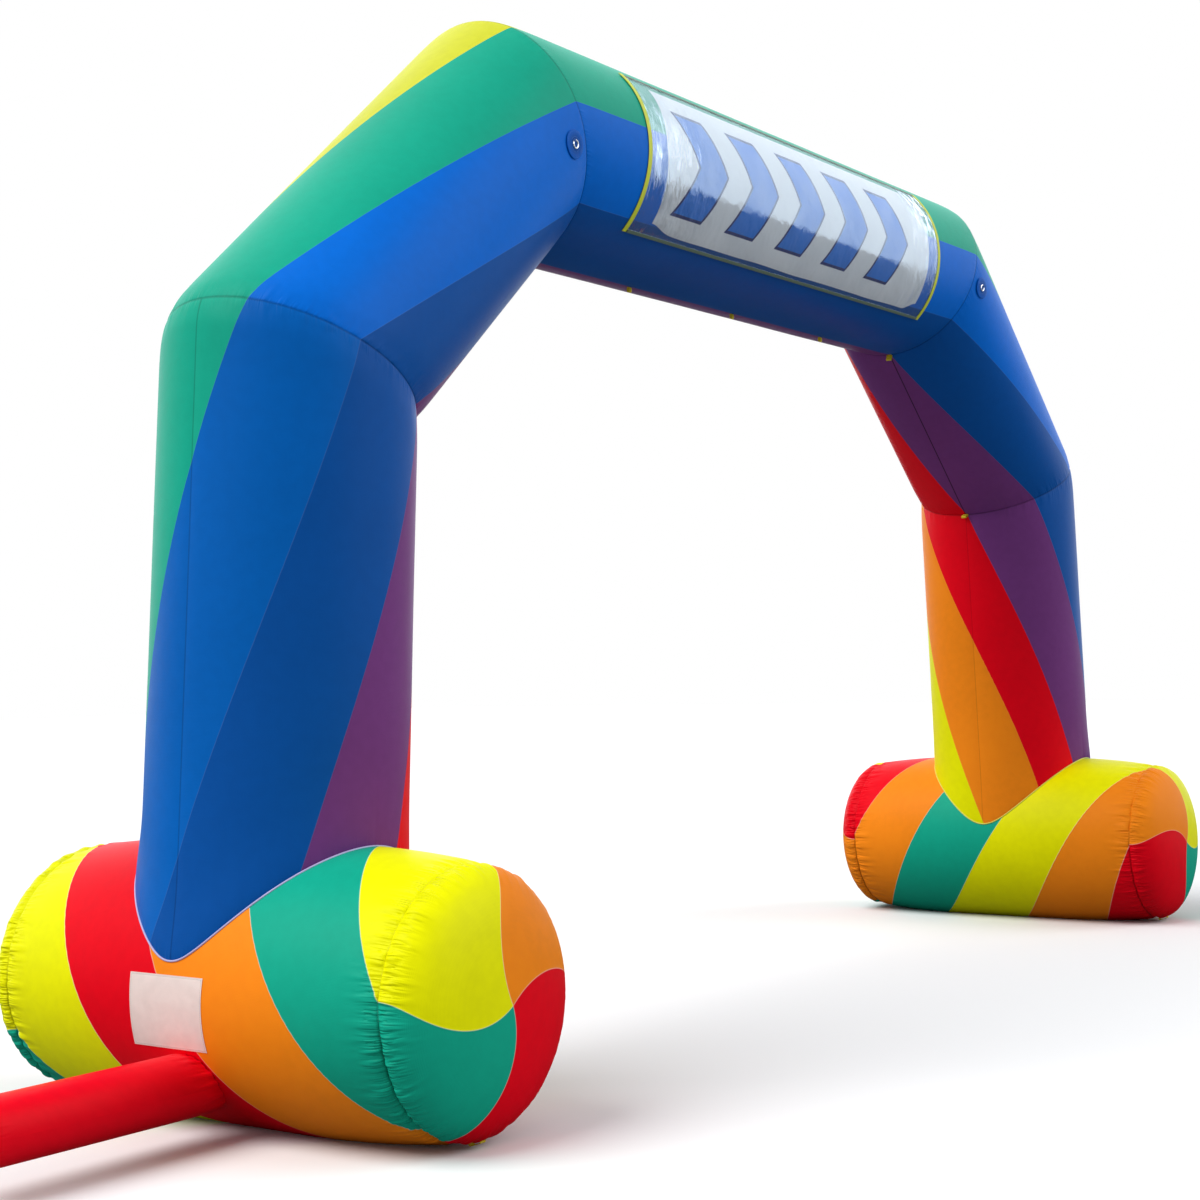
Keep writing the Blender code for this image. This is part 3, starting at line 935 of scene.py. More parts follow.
@dataclass(frozen=True)
class ClothFinish:
    """The coated nylon of the arch: satin, with colour panels sewn side by side."""

    effects: Effects
    roughness: float = 0.42
    gloss: float = 0.06
    join_half: float = 0.0020
    # Heights at which the painted shade along seams changes from its low to its upper strength.
    low_from: float = 0.34
    low_to: float = 0.52

    def start(self, name: str) -> Finish:
        """A finish with the cloth's gloss."""
        finish = Finish(name, self.roughness)
        finish.shader.inputs["Specular IOR Level"].default_value = self.gloss
        return finish

    def complete(
        self, finish: Finish, colour: Socket, join_gap: Socket | None, place: Socket,
        around: Socket, sewing: Stitching, dark: Socket | None = None,
    ) -> bpy.types.Material:
        """Add joins, weave, puckers and painted shade along seams to a panel colour.

        Args:
            finish: the finish under construction.
            colour: colour of the panel at each point.
            join_gap: distance to the nearest join, in metres, if there are joins.
            place: place on the cloth in metres.
            around: metres round the seam.
            sewing: how its joins and puckers show.
            dark: share of painted shade along a lengthwise seam, if there is one.

        Returns:
            The material.
        """
        g = finish.graph
        weave = g.group(self.effects.weave, place=place)
        gap = finish.attribute("seam_gap")
        pucker = g.group(
            self.effects.pucker, around=around, gap=gap, reach=sewing.reach, depth=sewing.depth
        )
        toned = g.scale_colour(colour, weave["Tone"])
        # Painted shade along each seam, stronger on the lower part of the piece.
        _, _, level = g.split(finish.object_place())
        shade = g.fade(level, self.low_from, self.low_to, sewing.low_shade, sewing.shade)
        edge = g.math("MULTIPLY", g.fade(gap, 0.001, 0.007, 1.0, 0.0), shade)
        seam = g.math("MAXIMUM", edge, dark) if dark is not None else edge
        shaded = g.scale_colour(toned, g.math("SUBTRACT", 1.0, seam))
        if join_gap is None:
            finish.colour(shaded)
            finish.bump(weave["Height"], pucker["Height"])
            return finish.material
        join = g.group(
            self.effects.join, distance=join_gap, width=self.join_half, ridge=sewing.ridge
        )
        light = g.math("MULTIPLY", join["Line"], sewing.light)
        finish.colour(g.mix(light, shaded, (1.0, 1.0, 0.92, 1.0)))
        finish.bump(weave["Height"], join["Height"], pucker["Height"])
        return finish.material

    def banded(
        self, name: str, tones: list[Tone], width: float, radius: float,
        sewing: Stitching, seams: tuple[tuple[float, float], ...] = (),
    ) -> bpy.types.Material:
        """Bands in the order that the piece's band map counts them.

        Args:
            name: the material's name.
            tones: tone of each band.
            width: roughly how wide a band is.
            radius: the tube's radius.
            sewing: how its joins and puckers show.
            seams: turn of each lengthwise seam and the strength of the painted shade along it.

        Returns:
            The material.
        """
        finish = self.start(name)
        g = finish.graph
        turn, run = finish.place()
        band, _, _ = g.split(g.node("ShaderNodeUVMap", uv_map="band").outputs[0])
        count = len(tones)
        share = g.math("FRACT", g.math("DIVIDE", band, float(count)))
        stops = [(index / count, tone.value) for index, tone in enumerate(tones)]
        join_gap = g.math("MULTIPLY", g.math("PINGPONG", band, 0.5), width)
        around = g.math("MULTIPLY", turn, math.tau * radius)
        dark = None
        # Painted shade along each lengthwise seam.
        for place, depth in seams:
            aside = g.math("PINGPONG", g.math("SUBTRACT", turn, place), 0.5)
            line = g.fade(g.math("MULTIPLY", aside, math.tau * radius), 0.0010, 0.0042, depth, 0.0)
            dark = line if dark is None else g.math("MAXIMUM", dark, line)
        place = g.vector(around, run, 0.0)
        colour = g.steps(share, stops)
        return self.complete(finish, colour, join_gap, place, around, sewing, dark)

    def pinwheel(
        self, name: str, sectors: tuple[tuple[float, Tone], ...], swirl: float, radius: float
    ) -> bpy.types.Material:
        """Sectors that meet at a cap's centre, their joins bent like a pinwheel's.

        Args:
            name: the material's name.
            sectors: angle in degrees where each sector starts at the seam, and its tone.
            swirl: degrees by which the joins turn from the seam to the centre.
            radius: the seam's radius.

        Returns:
            The material.
        """
        finish = self.start(name)
        g = finish.graph
        turn, run = finish.place()
        bent = g.math("MULTIPLY_ADD", run, -swirl / TURN / radius, swirl / TURN)
        base = sectors[0][0] / TURN
        share = g.math("FRACT", g.math("SUBTRACT", g.math("ADD", turn, bent), base))
        stops = [((angle / TURN - base) % 1.0, tone.value) for angle, tone in sectors]
        gaps = [
            g.math("PINGPONG", g.math("SUBTRACT", share, position), 0.5) for position, _ in stops
        ]
        nearest = gaps[0]
        for gap in gaps[1:]:
            nearest = g.math("MINIMUM", nearest, gap)
        join_gap = g.math("MULTIPLY", nearest, g.math("MULTIPLY", run, math.tau))
        around = g.math("MULTIPLY", turn, math.tau * radius)
        place = finish.object_place()
        colour = g.steps(share, stops)
        return self.complete(finish, colour, join_gap, place, around, Sewing.CAP.value)

    def plain(self, name: str, tone: Rgb, radius: float) -> bpy.types.Material:
        """One colour on a sleeve or a patch, with the cloth's weave and puckers."""
        finish = self.start(name)
        g = finish.graph
        around, run = finish.unrolled(radius)
        place = g.vector(around, run, 0.0)
        flat = g.mix(g.noise(place, 9.0), opaque(tone), opaque(tone, 0.93))
        return self.complete(finish, flat, None, place, around, Sewing.TUBE.value)


def saddle_pull() -> SeamPull:
    """How a leg spreads where it is sewn over its foot."""
    return SeamPull(
        depth=0.0, crease=0.002, pucker=0.0004, flare_outer=0.0125, flare_inner=0.005, seed=20.0
    )


def knee_pull(hand: Hand) -> SeamPull:
    """The seam between a leg and its shoulder."""
    return SeamPull(depth=0.005, round_depth=0.012, seed=3.0 + hand.value)


def corner_pull(hand: Hand) -> SeamPull:
    """The seam between a shoulder and the beam."""
    return SeamPull(
        depth=0.002, crease=0.002, round_depth=0.001, pucker=0.0010, seed=8.0 + hand.value
    )


def mitre(before: Vector, corner: Vector, after: Vector) -> Vector:
    """Normal of a seam's plane, along the way from before to after."""
    return ((corner - before).normalized() + (after - corner).normalized()).normalized()


def leg_band(turn: float, way: float) -> float:
    """Band of a leg at a turn and at a distance from the knee."""
    return band_among([join.on_leg(way) for join in JOINS], TURN * turn)


def shoulder_band(turn: float, share: float) -> float:
    """Band of a shoulder at a turn and at a share of its length."""
    return band_among([join.on_shoulder(share) for join in JOINS], TURN * turn)


def beam_band(turn: float, _share: float) -> float:
    """Band of the beam at a turn: its bands run straight along it."""
    return shoulder_band(turn, 1.0)


@dataclass
class Tubes:
    """The five air-filled tubes: two legs, two shoulders and the beam."""

    plan: ArchPlan
    cloth: ClothFinish
    segments: int = 352
    leg_rows: int = 76
    shoulder_rows: int = 62
    beam_rows: int = 100
    dish_rows: int = 14
    packing: float = 0.78
    ripple: float = 0.0010
    groove: float = 0.0035
    groove_reach: float = 0.030
    calm_reach: float = 0.15
    ripple_scale: float = 2.2

    def make(
        self, name: str, axis: TubeAxis, rims: tuple[Rim, Rim], pulls: tuple[SeamPull, SeamPull],
        rows: int, law: BandLaw, dish: int = 0, grooves: tuple[float, ...] = (),
    ) -> bpy.types.Object:
        """Wrap a strip of cloth round a centre line between two rims.

        Args:
            name: the piece's name.
            axis: the centre line.
            rims: where it starts and ends.
            pulls: how the two seams draw the cloth in.
            rows: number of faces along the tube.
            law: from turn and share of the way to the band.
            dish: rows that close the start where it isn't flat.
            grooves: turns at which a lengthwise seam draws the cloth in.

        Returns:
            The piece.
        """
        shape = ClothShape()
        verts = shape.strip(self.segments, rows + dish)
        for vert in verts:
            angle = math.atan2(vert.co.y, vert.co.x)
            step = vert.co.z * (rows + dish) - dish
            share = crowd(max(0.0, step / rows), self.packing)
            ends = [
                rim(angle, self.plan.tube_r - pull.inset(angle, 0.0))
                for rim, pull in zip(rims, pulls)
            ]
            run = part_way(ends, share)
            gaps = (run - ends[0], ends[1] - run)
            inset = sum(pull.inset(angle, gap) for pull, gap in zip(pulls, gaps))
            calm = 1.0 - math.exp(-min(gaps) / self.calm_reach)
            bare = axis.at(run, angle, self.plan.tube_r)
            slack = noise.noise(bare * self.ripple_scale) * self.ripple
            for turn in grooves:
                aside = abs((angle / math.tau - turn + 0.5) % 1.0 - 0.5) * math.tau
                slack -= self.groove * math.exp(-aside * self.plan.tube_r / self.groove_reach)
            radius = self.plan.tube_r - inset + slack * calm
            if step < 0.0:
                radius *= 1.0 + step / dish
                run = rims[0](angle, radius)
            vert.co = axis.at(run, angle, radius)
            vert[shape.turn] = angle / math.tau
            vert[shape.run] = run
            vert[shape.way] = share if dish == 0 else gaps[1]
            vert[shape.seam] = min(gaps)
        if dish:
            tip = [vert for vert in verts if vert.is_boundary and vert[shape.way] > 0.5]
            centre = axis.at(rims[0](0.0, 0.0), 0.0, 0.0)
            bmesh.ops.pointmerge(shape.bm, verts=tip, merge_co=centre)
        shape.close_ends()
        return shape.finish(name, law)

    def leg(self, hand: Hand, material: bpy.types.Material) -> None:
        """One leg, from the saddle on its foot to the knee."""
        foot, knee, corner = self.plan.foot(hand), self.plan.knee(hand), self.plan.corner(hand)
        axis = leg_axis(self.plan, hand)
        normal = mitre(foot, knee, corner)
        far = plane_rim(axis, knee - normal * GAP / 2, normal)
        pulls = (saddle_pull(), knee_pull(hand))
        name = "leg_" + hand.word
        piece = self.make(
            name + "_cloth", axis, (saddle_rim(self.plan), far), pulls, self.leg_rows,
            leg_band, dish=self.dish_rows, grooves=(-0.25, 0.25),
        )
        dress(piece, material, "leg_cloth", name)

    def shoulder(self, hand: Hand, material: bpy.types.Material) -> None:
        """One slanted shoulder, from the knee to the beam's corner."""
        foot, knee, corner = self.plan.foot(hand), self.plan.knee(hand), self.plan.corner(hand)
        axis = shoulder_axis(self.plan, hand)
        low = mitre(foot, knee, corner)
        high = mitre(knee, corner, self.plan.corner(hand.other))
        near = plane_rim(axis, knee + low * GAP / 2, low)
        far = plane_rim(axis, corner - high * GAP / 2, high)
        pulls = (knee_pull(hand), corner_pull(hand))
        name = "shoulder_" + hand.word
        piece = self.make(
            name + "_cloth", axis, (near, far), pulls, self.shoulder_rows,
            shoulder_band, grooves=(0.25,),
        )
        dress(piece, material, "shoulder_cloth", name)

    def beam(self, material: bpy.types.Material) -> None:
        """The level tube between the two corners."""
        left, right = self.plan.corner(Hand.LEFT), self.plan.corner(Hand.RIGHT)
        axis = TubeAxis.between(left, right, ALONG * self.plan.middle_x)
        first = mitre(self.plan.knee(Hand.LEFT), left, right)
        last = mitre(left, right, self.plan.knee(Hand.RIGHT))
        near = plane_rim(axis, left + first * GAP / 2, first)
        far = plane_rim(axis, right - last * GAP / 2, last)
        pulls = (corner_pull(Hand.LEFT), corner_pull(Hand.RIGHT))
        piece = self.make("beam_cloth", axis, (near, far), pulls, self.beam_rows, beam_band)
        dress(piece, material, "beam_cloth", "beam")

    def build(self) -> None:
        """Make all five tubes in their winding bands."""
        tones = [join.tone for join in JOINS]
        # The shoulders and the beam show their yellow with painted shade.
        high = [Tone.YELLOW_PAINTED_SHADE if tone is Tone.YELLOW else tone for tone in tones]
        # The legs show their blue with painted shade.
        low = [Tone.BLUE_PAINTED_SHADE if tone is Tone.BLUE else tone for tone in tones]
        radius = self.plan.tube_r
        width = math.tau * radius / len(tones)
        # Each lengthwise seam carries the strength of the painted shade along it.
        leg, slanted, level = (
            self.cloth.banded(name, shown, width, radius, Sewing.TUBE.value, seams)
            for name, shown, seams in (
                ("leg_bands", low, ((-0.25, 0.32), (0.25, 0.18))),
                ("shoulder_bands", high, ((0.25, 0.80),)),
                ("beam_bands", high, ()),
            )
        )
        for hand in Hand:
            self.leg(hand, leg)
            self.shoulder(hand, slanted)
        self.beam(level)


def foot_spoke(hand: Hand, angle: float) -> Vector:
    """Direction out from a foot's axis: 0 faces outwards, a quarter turn up."""
    return Vector((hand.value * math.cos(angle), 0.0, math.sin(angle)))


def foot_turn(angle: float) -> float:
    """Turn round a foot, counted on past its underside."""
    turn = angle / math.tau
    return turn if turn >= -0.25 else turn + 1.0


@dataclass
class Feet:
    """The barrel feet with their domed end caps."""

    plan: ArchPlan
    cloth: ClothFinish
    segments: int = 480
    barrel_rows: int = 96
    cap_rows: int = 40
    packing: float = 0.86
    panel: float = 0.35
    swirl: float = 40.0
    contact: float = 0.006
    crease_deep: float = 0.017
    crease_slight: float = 0.005
    crease_reach: float = 0.013
    crease_heights: Ends = (0.25, -0.45)
    seam_wave: float = 0.0035
    wave_folds: float = 9.0
    wave_reach: float = 0.05
    barrel_gather: float = 0.070
    cap_gather: float = 0.105
    cap_packing: float = 1.7
    cap_arc: float = 1.15
    turned_in: float = 0.03
    lowest: float = 0.0002
    fullness: float = 0.86
    front_sectors: tuple[tuple[float, Tone], ...] = (
        (-68.0, Tone.GREEN), (8.0, Tone.YELLOW), (101.0, Tone.ORANGE), (178.0, Tone.RED),
    )
    back_sectors: tuple[tuple[float, Tone], ...] = (
        (-24.0, Tone.YELLOW), (98.0, Tone.RED), (181.0, Tone.ORANGE), (250.0, Tone.GREEN),
    )

    def seam_pull(self, hand: Hand, end: End, reach: float) -> SeamPull:
        """The gathered seam between a barrel and a cap."""
        return SeamPull(
            depth=0.002, reach=0.03, crease=0.004, crease_reach=0.008, pucker=0.0060,
            pucker_reach=reach, folds=17.0, seed=30.0 + 2 * hand.value + end.value,
        )

    def waver(self, hand: Hand, end: End, angle: float, gap: float) -> float:
        """How far the seam wanders along the foot."""
        seed = hand.value + 5 * end.value
        place = Vector((math.cos(angle) * self.wave_folds, math.sin(angle) * self.wave_folds, seed))
        return self.seam_wave * noise.noise(place) * math.exp(-gap / self.wave_reach)

    def seam_inset(
        self, hand: Hand, end: End, pull: SeamPull, angle: float, gap: float
    ) -> float:
        """The seam's pull, with a crease on the lower half, deepest at the left front."""
        low = smooth(*self.crease_heights, math.sin(angle))
        folded = hand is Hand.LEFT and end is End.FRONT
        crease = self.crease_deep if folded else self.crease_slight
        return pull.inset(angle, gap) + crease * low * math.exp(-gap / self.crease_reach)

    def settle(self, place: Vector) -> Vector:
        """Press a point that would lie below the floor onto it, with a soft edge."""
        pressed = (place.z + math.sqrt(place.z**2 + self.contact**2)) / 2
        lift = self.contact / 2 * math.exp(-abs(place.z) / self.contact)
        return Vector((place.x, place.y, max(self.lowest, pressed - lift)))

    def barrel(self, hand: Hand, material: bpy.types.Material) -> None:
        """One barrel, drawn in at both cap seams and flat where it stands."""
        centre = self.plan.foot(hand)
        reach = self.plan.foot_seam_y - GAP / 2
        pulls = {end: self.seam_pull(hand, end, self.barrel_gather) for end in End}
        shape = ClothShape()
        for vert in shape.strip(self.segments, self.barrel_rows):
            angle = math.atan2(-vert.co.x, vert.co.y)
            y = reach * (2.0 * crowd(vert.co.z, self.packing) - 1.0)
            gaps = {End.FRONT: y + reach, End.BACK: reach - y}
            inset = sum(
                self.seam_inset(hand, end, pulls[end], angle, gaps[end]) for end in End
            )
            radius = self.plan.foot_radius(y) - inset
            along = y + sum(self.waver(hand, end, angle, gaps[end]) for end in End)
            place = centre + foot_spoke(hand, angle) * radius - FRONT * along
            vert.co = self.settle(place)
            vert[shape.turn] = foot_turn(angle)
            vert[shape.run] = y
            vert[shape.way] = y
            vert[shape.seam] = min(gaps.values())
        shape.close_ends()
        name = "foot_" + hand.word
        piece = shape.finish(name + "_cloth", foot_band)
        dress(piece, material, "foot_cloth", name)

    def cap(self, hand: Hand, end: End, material: bpy.types.Material) -> None:
        """One domed cap, gathered along its seam."""
        out = Vector((0.0, end.value, 0.0))
        centre = self.plan.foot(hand) + out * self.plan.foot_seam_y
        pull = self.seam_pull(hand, end, self.cap_gather)
        shape = ClothShape()
        verts = shape.strip(self.segments, self.cap_rows)
        for vert in verts:
            angle = math.atan2(-vert.co.x, vert.co.y)
            share = vert.co.z ** self.cap_packing
            rise = QUARTER * share
            gap = self.plan.foot_seam_r * share * self.cap_arc
            inset = self.seam_inset(hand, end, pull, angle, gap)
            radius = self.plan.foot_seam_r * max(0.0, math.cos(rise)) ** self.fullness
            depth = self.plan.cap_depth * math.sin(rise) ** self.fullness + GAP / 2
            spoke = foot_spoke(hand, angle)
            normal = spoke * math.cos(rise) + out * math.sin(rise)
            bare = centre + spoke * radius + out * depth
            bare.y += self.waver(hand, end, angle, gap)
            inward = spoke.lerp(normal, smooth(0.0, self.turned_in, gap))
            vert.co = bare - inward * inset
            vert[shape.turn] = foot_turn(angle)
            vert[shape.run] = radius
            vert[shape.seam] = gap
        tip = [vert for vert in verts if vert[shape.run] < TIP]
        bmesh.ops.pointmerge(shape.bm, verts=tip, merge_co=centre + out * self.plan.cap_depth)
        shape.close_ends()
        name = f"cap_{end.word}_{hand.word}"
        piece = shape.finish(name + "_cloth")
        dress(piece, material, "cap_cloth", name)

    def build(self) -> None:
        """Make both feet and their four caps."""
        radius = self.plan.foot_seam_r
        tones = [join.tone for join in PANEL_JOINS]
        barrel = self.cloth.banded(
            "foot_panels", tones, self.panel, self.plan.foot_r, Sewing.FOOT.value
        )
        caps = {
            end: self.cloth.pinwheel(end.word + "_cap_panels", sectors, self.swirl, radius)
            for end, sectors in zip(End, (self.front_sectors, self.back_sectors))
        }
        for hand in Hand:
            self.barrel(hand, barrel)
            for end in End:
                self.cap(hand, end, caps[end])


@dataclass
class Piping:
    """The thin piping sewn along the saddle between a leg and its foot."""

    plan: ArchPlan
    radius: float = 0.0032
    steps: int = 240
    sides: int = 10
    tones: dict[Hand, tuple[float, float, float]] = field(
        default_factory=lambda: {Hand.LEFT: (0.55, 0.50, 0.80), Hand.RIGHT: (0.85, 0.80, 0.10)}
    )

    def build(self) -> None:
        """Make both pipings."""
        for hand in Hand:
            self.saddle(hand)

    def saddle(self, hand: Hand) -> None:
        """Lay a round cord of cloth along one saddle."""
        inside = self.plan.foot(Hand(-hand.value))
        axis = TubeAxis.between(self.plan.foot(hand), self.plan.knee(hand), inside)
        rim = saddle_rim(self.plan)
        pull = saddle_pull()
        line = []
        for step in range(self.steps):
            angle = math.tau * step / self.steps
            radius = self.plan.tube_r - pull.inset(angle, 0.0)
            run = rim(angle, radius) + self.radius * 0.1
            line.append(axis.at(run, angle, radius + self.radius * 0.35))
        bm = bmesh.new()
        rings = []
        for index, point in enumerate(line):
            ahead = line[(index + 1) % len(line)] - line[index - 1]
            made = bmesh.ops.create_circle(
                bm, segments=self.sides, radius=self.radius,
                matrix=axes_matrix(point, ahead.cross(axis.along), ahead),
            )
            rings.append({edge for vert in made["verts"] for edge in vert.link_edges})
        for index, ring in enumerate(rings):
            bmesh.ops.bridge_loops(bm, edges=list(ring | rings[(index + 1) % len(rings)]))
        bmesh.ops.recalc_face_normals(bm, faces=bm.faces)
        piece = mesh_object("saddle_piping_" + hand.word, bm)
        finish = Finish(f"piping_{hand.word}", 0.5)
        g = finish.graph
        place = finish.object_place()
        tone = self.tones[hand]
        finish.colour(g.mix(g.noise(place, 60.0), (*tone, 1.0), (*(0.8 * c for c in tone), 1.0)))
        twist = g.math("MULTIPLY", g.noise(place, 350.0), 0.0004)
        finish.bump(twist)
        dress(piece, finish.material, "foot_cloth")


@dataclass
class Inlet:
    """The air inlet: a thin sleeve that leaves the left foot, with a hem at its mouth."""

    plan: ArchPlan
    cloth: ClothFinish
    wall: float = 0.003
    hem: float = 0.030
    hem_rise: float = 0.0015
    segments: int = 160
    rows: int = 90
    ripple: float = 0.0016

    def build(self) -> None:
        """Make the sleeve as an open shell."""
        low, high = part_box("inlet_sleeve")
        radius = span(low, high).z / 2 - self.hem_rise
        axis_y, axis_z = middle(low, high).y, middle(low, high).z
        centre = self.plan.foot(Hand.LEFT)
        shape = ClothShape()
        for vert in shape.strip(self.segments, self.rows):
            angle = math.atan2(vert.co.y, vert.co.x)
            share = vert.co.z
            y = axis_y + radius * math.cos(angle)
            z = axis_z + radius * math.sin(angle)
            barrel = self.plan.foot_radius(y) + GAP
            root = centre.x - math.sqrt(barrel**2 - (z - centre.z) ** 2)
            x = root + (low.x - root) * share
            gap = root - x
            mouth = x - low.x
            swell = self.hem_rise * smooth(self.hem + 0.002, self.hem - 0.002, mouth)
            gather = 0.0040 * math.exp(-((gap / 0.06) ** 2)) * fold_noise(angle, 6.0, gap * 4, 50.0)
            pinch = 0.009 * math.exp(-((gap / 0.03) ** 2))
            slack = noise.noise(Vector((x * 3.0, y * 4.0, z * 4.0))) * self.ripple
            grown = radius + swell + (gather - pinch + slack) * smooth(0.0, 0.02, mouth)
            spoke = Vector((0.0, math.cos(angle), math.sin(angle)))
            vert.co = Vector((x, axis_y, axis_z)) + spoke * grown
            vert[shape.turn] = angle / math.tau
            vert[shape.run] = gap
            vert[shape.seam] = min(gap, abs(mouth - self.hem) + 0.002)
        shape.bm.faces.ensure_lookup_table()
        first = shape.bm.faces[0].calc_center_median()
        outward = first - Vector((first.x, axis_y, axis_z))
        piece = shape.finish_sheet("inlet_sleeve_cloth", self.wall, outward)
        material = self.cloth.plain("sleeve_cloth", (0.98, 0.002, 0.014), radius)
        dress(piece, material, "sleeve_cloth", "inlet_sleeve")


@dataclass
class Panel:
    """A sheet that lies on a round tube between two runs and two angles."""

    name: str
    axis: TubeAxis
    runs: tuple[float, float]
    angles: tuple[float, float]
    radius: float
    thickness: float
    columns: int
    rows: int

    def make(self, shift: Callable[[float, float], tuple[float, float, float]]) -> bpy.types.Object:
        """Wrap a grid round the tube.

        Args:
            shift: from shares along and round the panel to extra run, angle and lift.

        Returns:
            The panel as a closed thin piece.
        """
        shape = ClothShape()
        bmesh.ops.create_grid(shape.bm, x_segments=self.columns, y_segments=self.rows, size=0.5)
        for vert in shape.bm.verts:
            along, round_share = vert.co.x + 0.5, vert.co.y + 0.5
            run_extra, angle_extra, lift = shift(along, round_share)
            run = self.runs[0] + (self.runs[1] - self.runs[0]) * along + run_extra
            angle = self.angles[0] + (self.angles[1] - self.angles[0]) * round_share + angle_extra
            vert.co = self.axis.at(run, angle, self.radius + lift)
            vert[shape.turn] = angle / math.tau
            vert[shape.run] = run
            edge = min(along, 1.0 - along) * (self.runs[1] - self.runs[0])
            side = min(round_share, 1.0 - round_share) * (self.angles[1] - self.angles[0])
            vert[shape.seam] = min(edge, side * self.radius)
        shape.bm.faces.ensure_lookup_table()
        centre = shape.bm.faces[0].calc_center_median()
        run = (centre - self.axis.start).dot(self.axis.along)
        outward = centre - (self.axis.start + self.axis.along * run)
        return shape.finish_sheet(self.name, self.thickness, outward)


def flat_shift(along: float, across: float) -> tuple[float, float, float]:
    """No shift at all."""
    return 0.0, 0.0, 0.0


@dataclass
class BannerPocket:
    """The clear pocket on the beam's front, with its printed sheet and its bindings."""

    plan: ArchPlan
    effects: Effects
    half: float = 1.190
    angle: float = math.radians(45.0)
    binding: float = 0.024
    binding_angle: float = math.radians(2.0)
    binding_thick: float = 0.003
    film_lift: float = 0.0018
    film_thick: float = 0.001
    insert_ends: tuple[float, float] = (-1.060, 1.100)
    insert_angles: tuple[float, float] = (math.radians(-40.5), math.radians(42.5))
    insert_thick: float = 0.001
    motifs: int = 5
    pitch: float = 0.385
    stroke: float = 0.215
    slant: float = 0.62
    motif_half: float = 0.205
    outline: float = 0.013
    first_tip: float = 0.955

    def axis(self) -> TubeAxis:
        """The beam's centre line, from the middle of the arch."""
        start = Vector((self.plan.middle_x, 0.0, self.plan.beam_z))
        return TubeAxis.between(start, start + Vector((1.0, 0.0, 0.0)), start - UP)

    def crinkle(self, along: float, across: float, seed: float, depth: float) -> float:
        """Shallow crumples that run mostly round the beam and gather at the ends."""
        ends = math.exp(-min(along, 1.0 - along) / 0.06)
        place = Vector((along * 34.0, across * 5.0, seed))
        fine = Vector((along * 80.0 + across * 9.0, across * 14.0, seed + 4.0))
        wave = noise.noise(place) * (0.35 + 0.9 * ends)
        return depth * (wave + 0.45 * noise.noise(fine) * (0.5 + ends))

    def build(self) -> None:
        """Make the sheet, the film and the four bindings."""
        self.sheet()
        self.film()
        self.bindings()

    def sheet(self) -> None:
        """The printed sheet, a little crumpled, its lower left corner pulled aside."""
        def shift(along: float, across: float) -> tuple[float, float, float]:
            """Loose edges and crumples."""
            corner = math.exp(-((along / 0.035) ** 2)) * smooth(0.55, 1.0, across)
            middle_part = math.exp(-(((across - 0.45) / 0.30) ** 2))
            bulge = math.exp(-((along / 0.03) ** 2)) * middle_part
            low = smooth(0.8, 1.0, across)
            run = -0.026 * bulge - 0.012 * corner
            angle = -0.075 * corner * low + 0.012 * low * noise.noise(Vector((along * 7.0, 0.0, 2.0)))
            tail = smooth(0.955, 1.0, along) * low
            lift = self.crinkle(along, across, 1.0, 0.0012)
            return run, angle - 0.10 * tail, max(-0.0001, lift * 0.5 + 0.0002)

        panel = Panel(
            "banner_sheet", self.axis(), self.insert_ends, self.insert_angles,
            self.plan.tube_r + GAP + self.insert_thick, self.insert_thick, 216, 60,
        )
        piece = dress(panel.make(shift), self.print_finish(), "banner_sheet", "banner_insert")

    def film(self) -> None:
        """The clear film, pulled tight between its bindings."""
        def shift(along: float, across: float) -> tuple[float, float, float]:
            """Crumples that die out at the sewn edges."""
            edge = min(along, 1.0 - along, across, 1.0 - across)
            calm = smooth(0.0, 0.03, edge)
            return 0.0, 0.0, calm * (0.0008 + self.crinkle(along, across, 6.0, 0.0016))

        reach = self.half - GAP
        panel = Panel(
            "pocket_film_clear", self.axis(), (-reach, reach), (-self.angle, self.angle),
            self.plan.tube_r + self.film_lift + self.film_thick, self.film_thick, 260, 70,
        )
        piece = dress(panel.make(shift), self.film_finish(), "clear_film", "pocket_film")

    def bindings(self) -> None:
        """The tape round the pocket's edges."""
        # The left and right tapes show the tape's yellow-green; the top and bottom tapes take a dark
        # olive copy of it as painted shade.
        bright = self.tape_finish("binding_bright", (0.66, 0.72, 0.035))
        painted_shade_tape = self.tape_finish("binding_painted_shade", (0.11, 0.18, 0.13))
        finishes = {"left": bright, "right": bright, "top": painted_shade_tape, "bottom": painted_shade_tape}
        full = self.angle + self.binding_angle
        edge = GAP / self.plan.tube_r
        reach = self.half - GAP
        spans = {
            "left": ((-self.half - self.binding, -self.half), (-full, full), 10, 90),
            "right": ((self.half, self.half + self.binding), (-full, full), 10, 90),
            "top": ((-reach, reach), (-full, -self.angle - edge), 240, 8),
            "bottom": ((-reach, reach), (self.angle + edge, full), 240, 8),
        }
        for word, (runs, angles, columns, rows) in spans.items():
            panel = Panel(
                "pocket_tape_" + word, self.axis(), runs, angles,
                self.plan.tube_r + GAP + self.binding_thick, self.binding_thick, columns, rows,
            )
            piece = panel.make(flat_shift)
            dress(piece, finishes[word], "binding_tape", "pocket_binding_" + word)
            bevel = piece.modifiers.new("edge", "BEVEL")
            bevel.width = 0.0011
            bevel.segments = 2
            bevel.limit_method = "ANGLE"

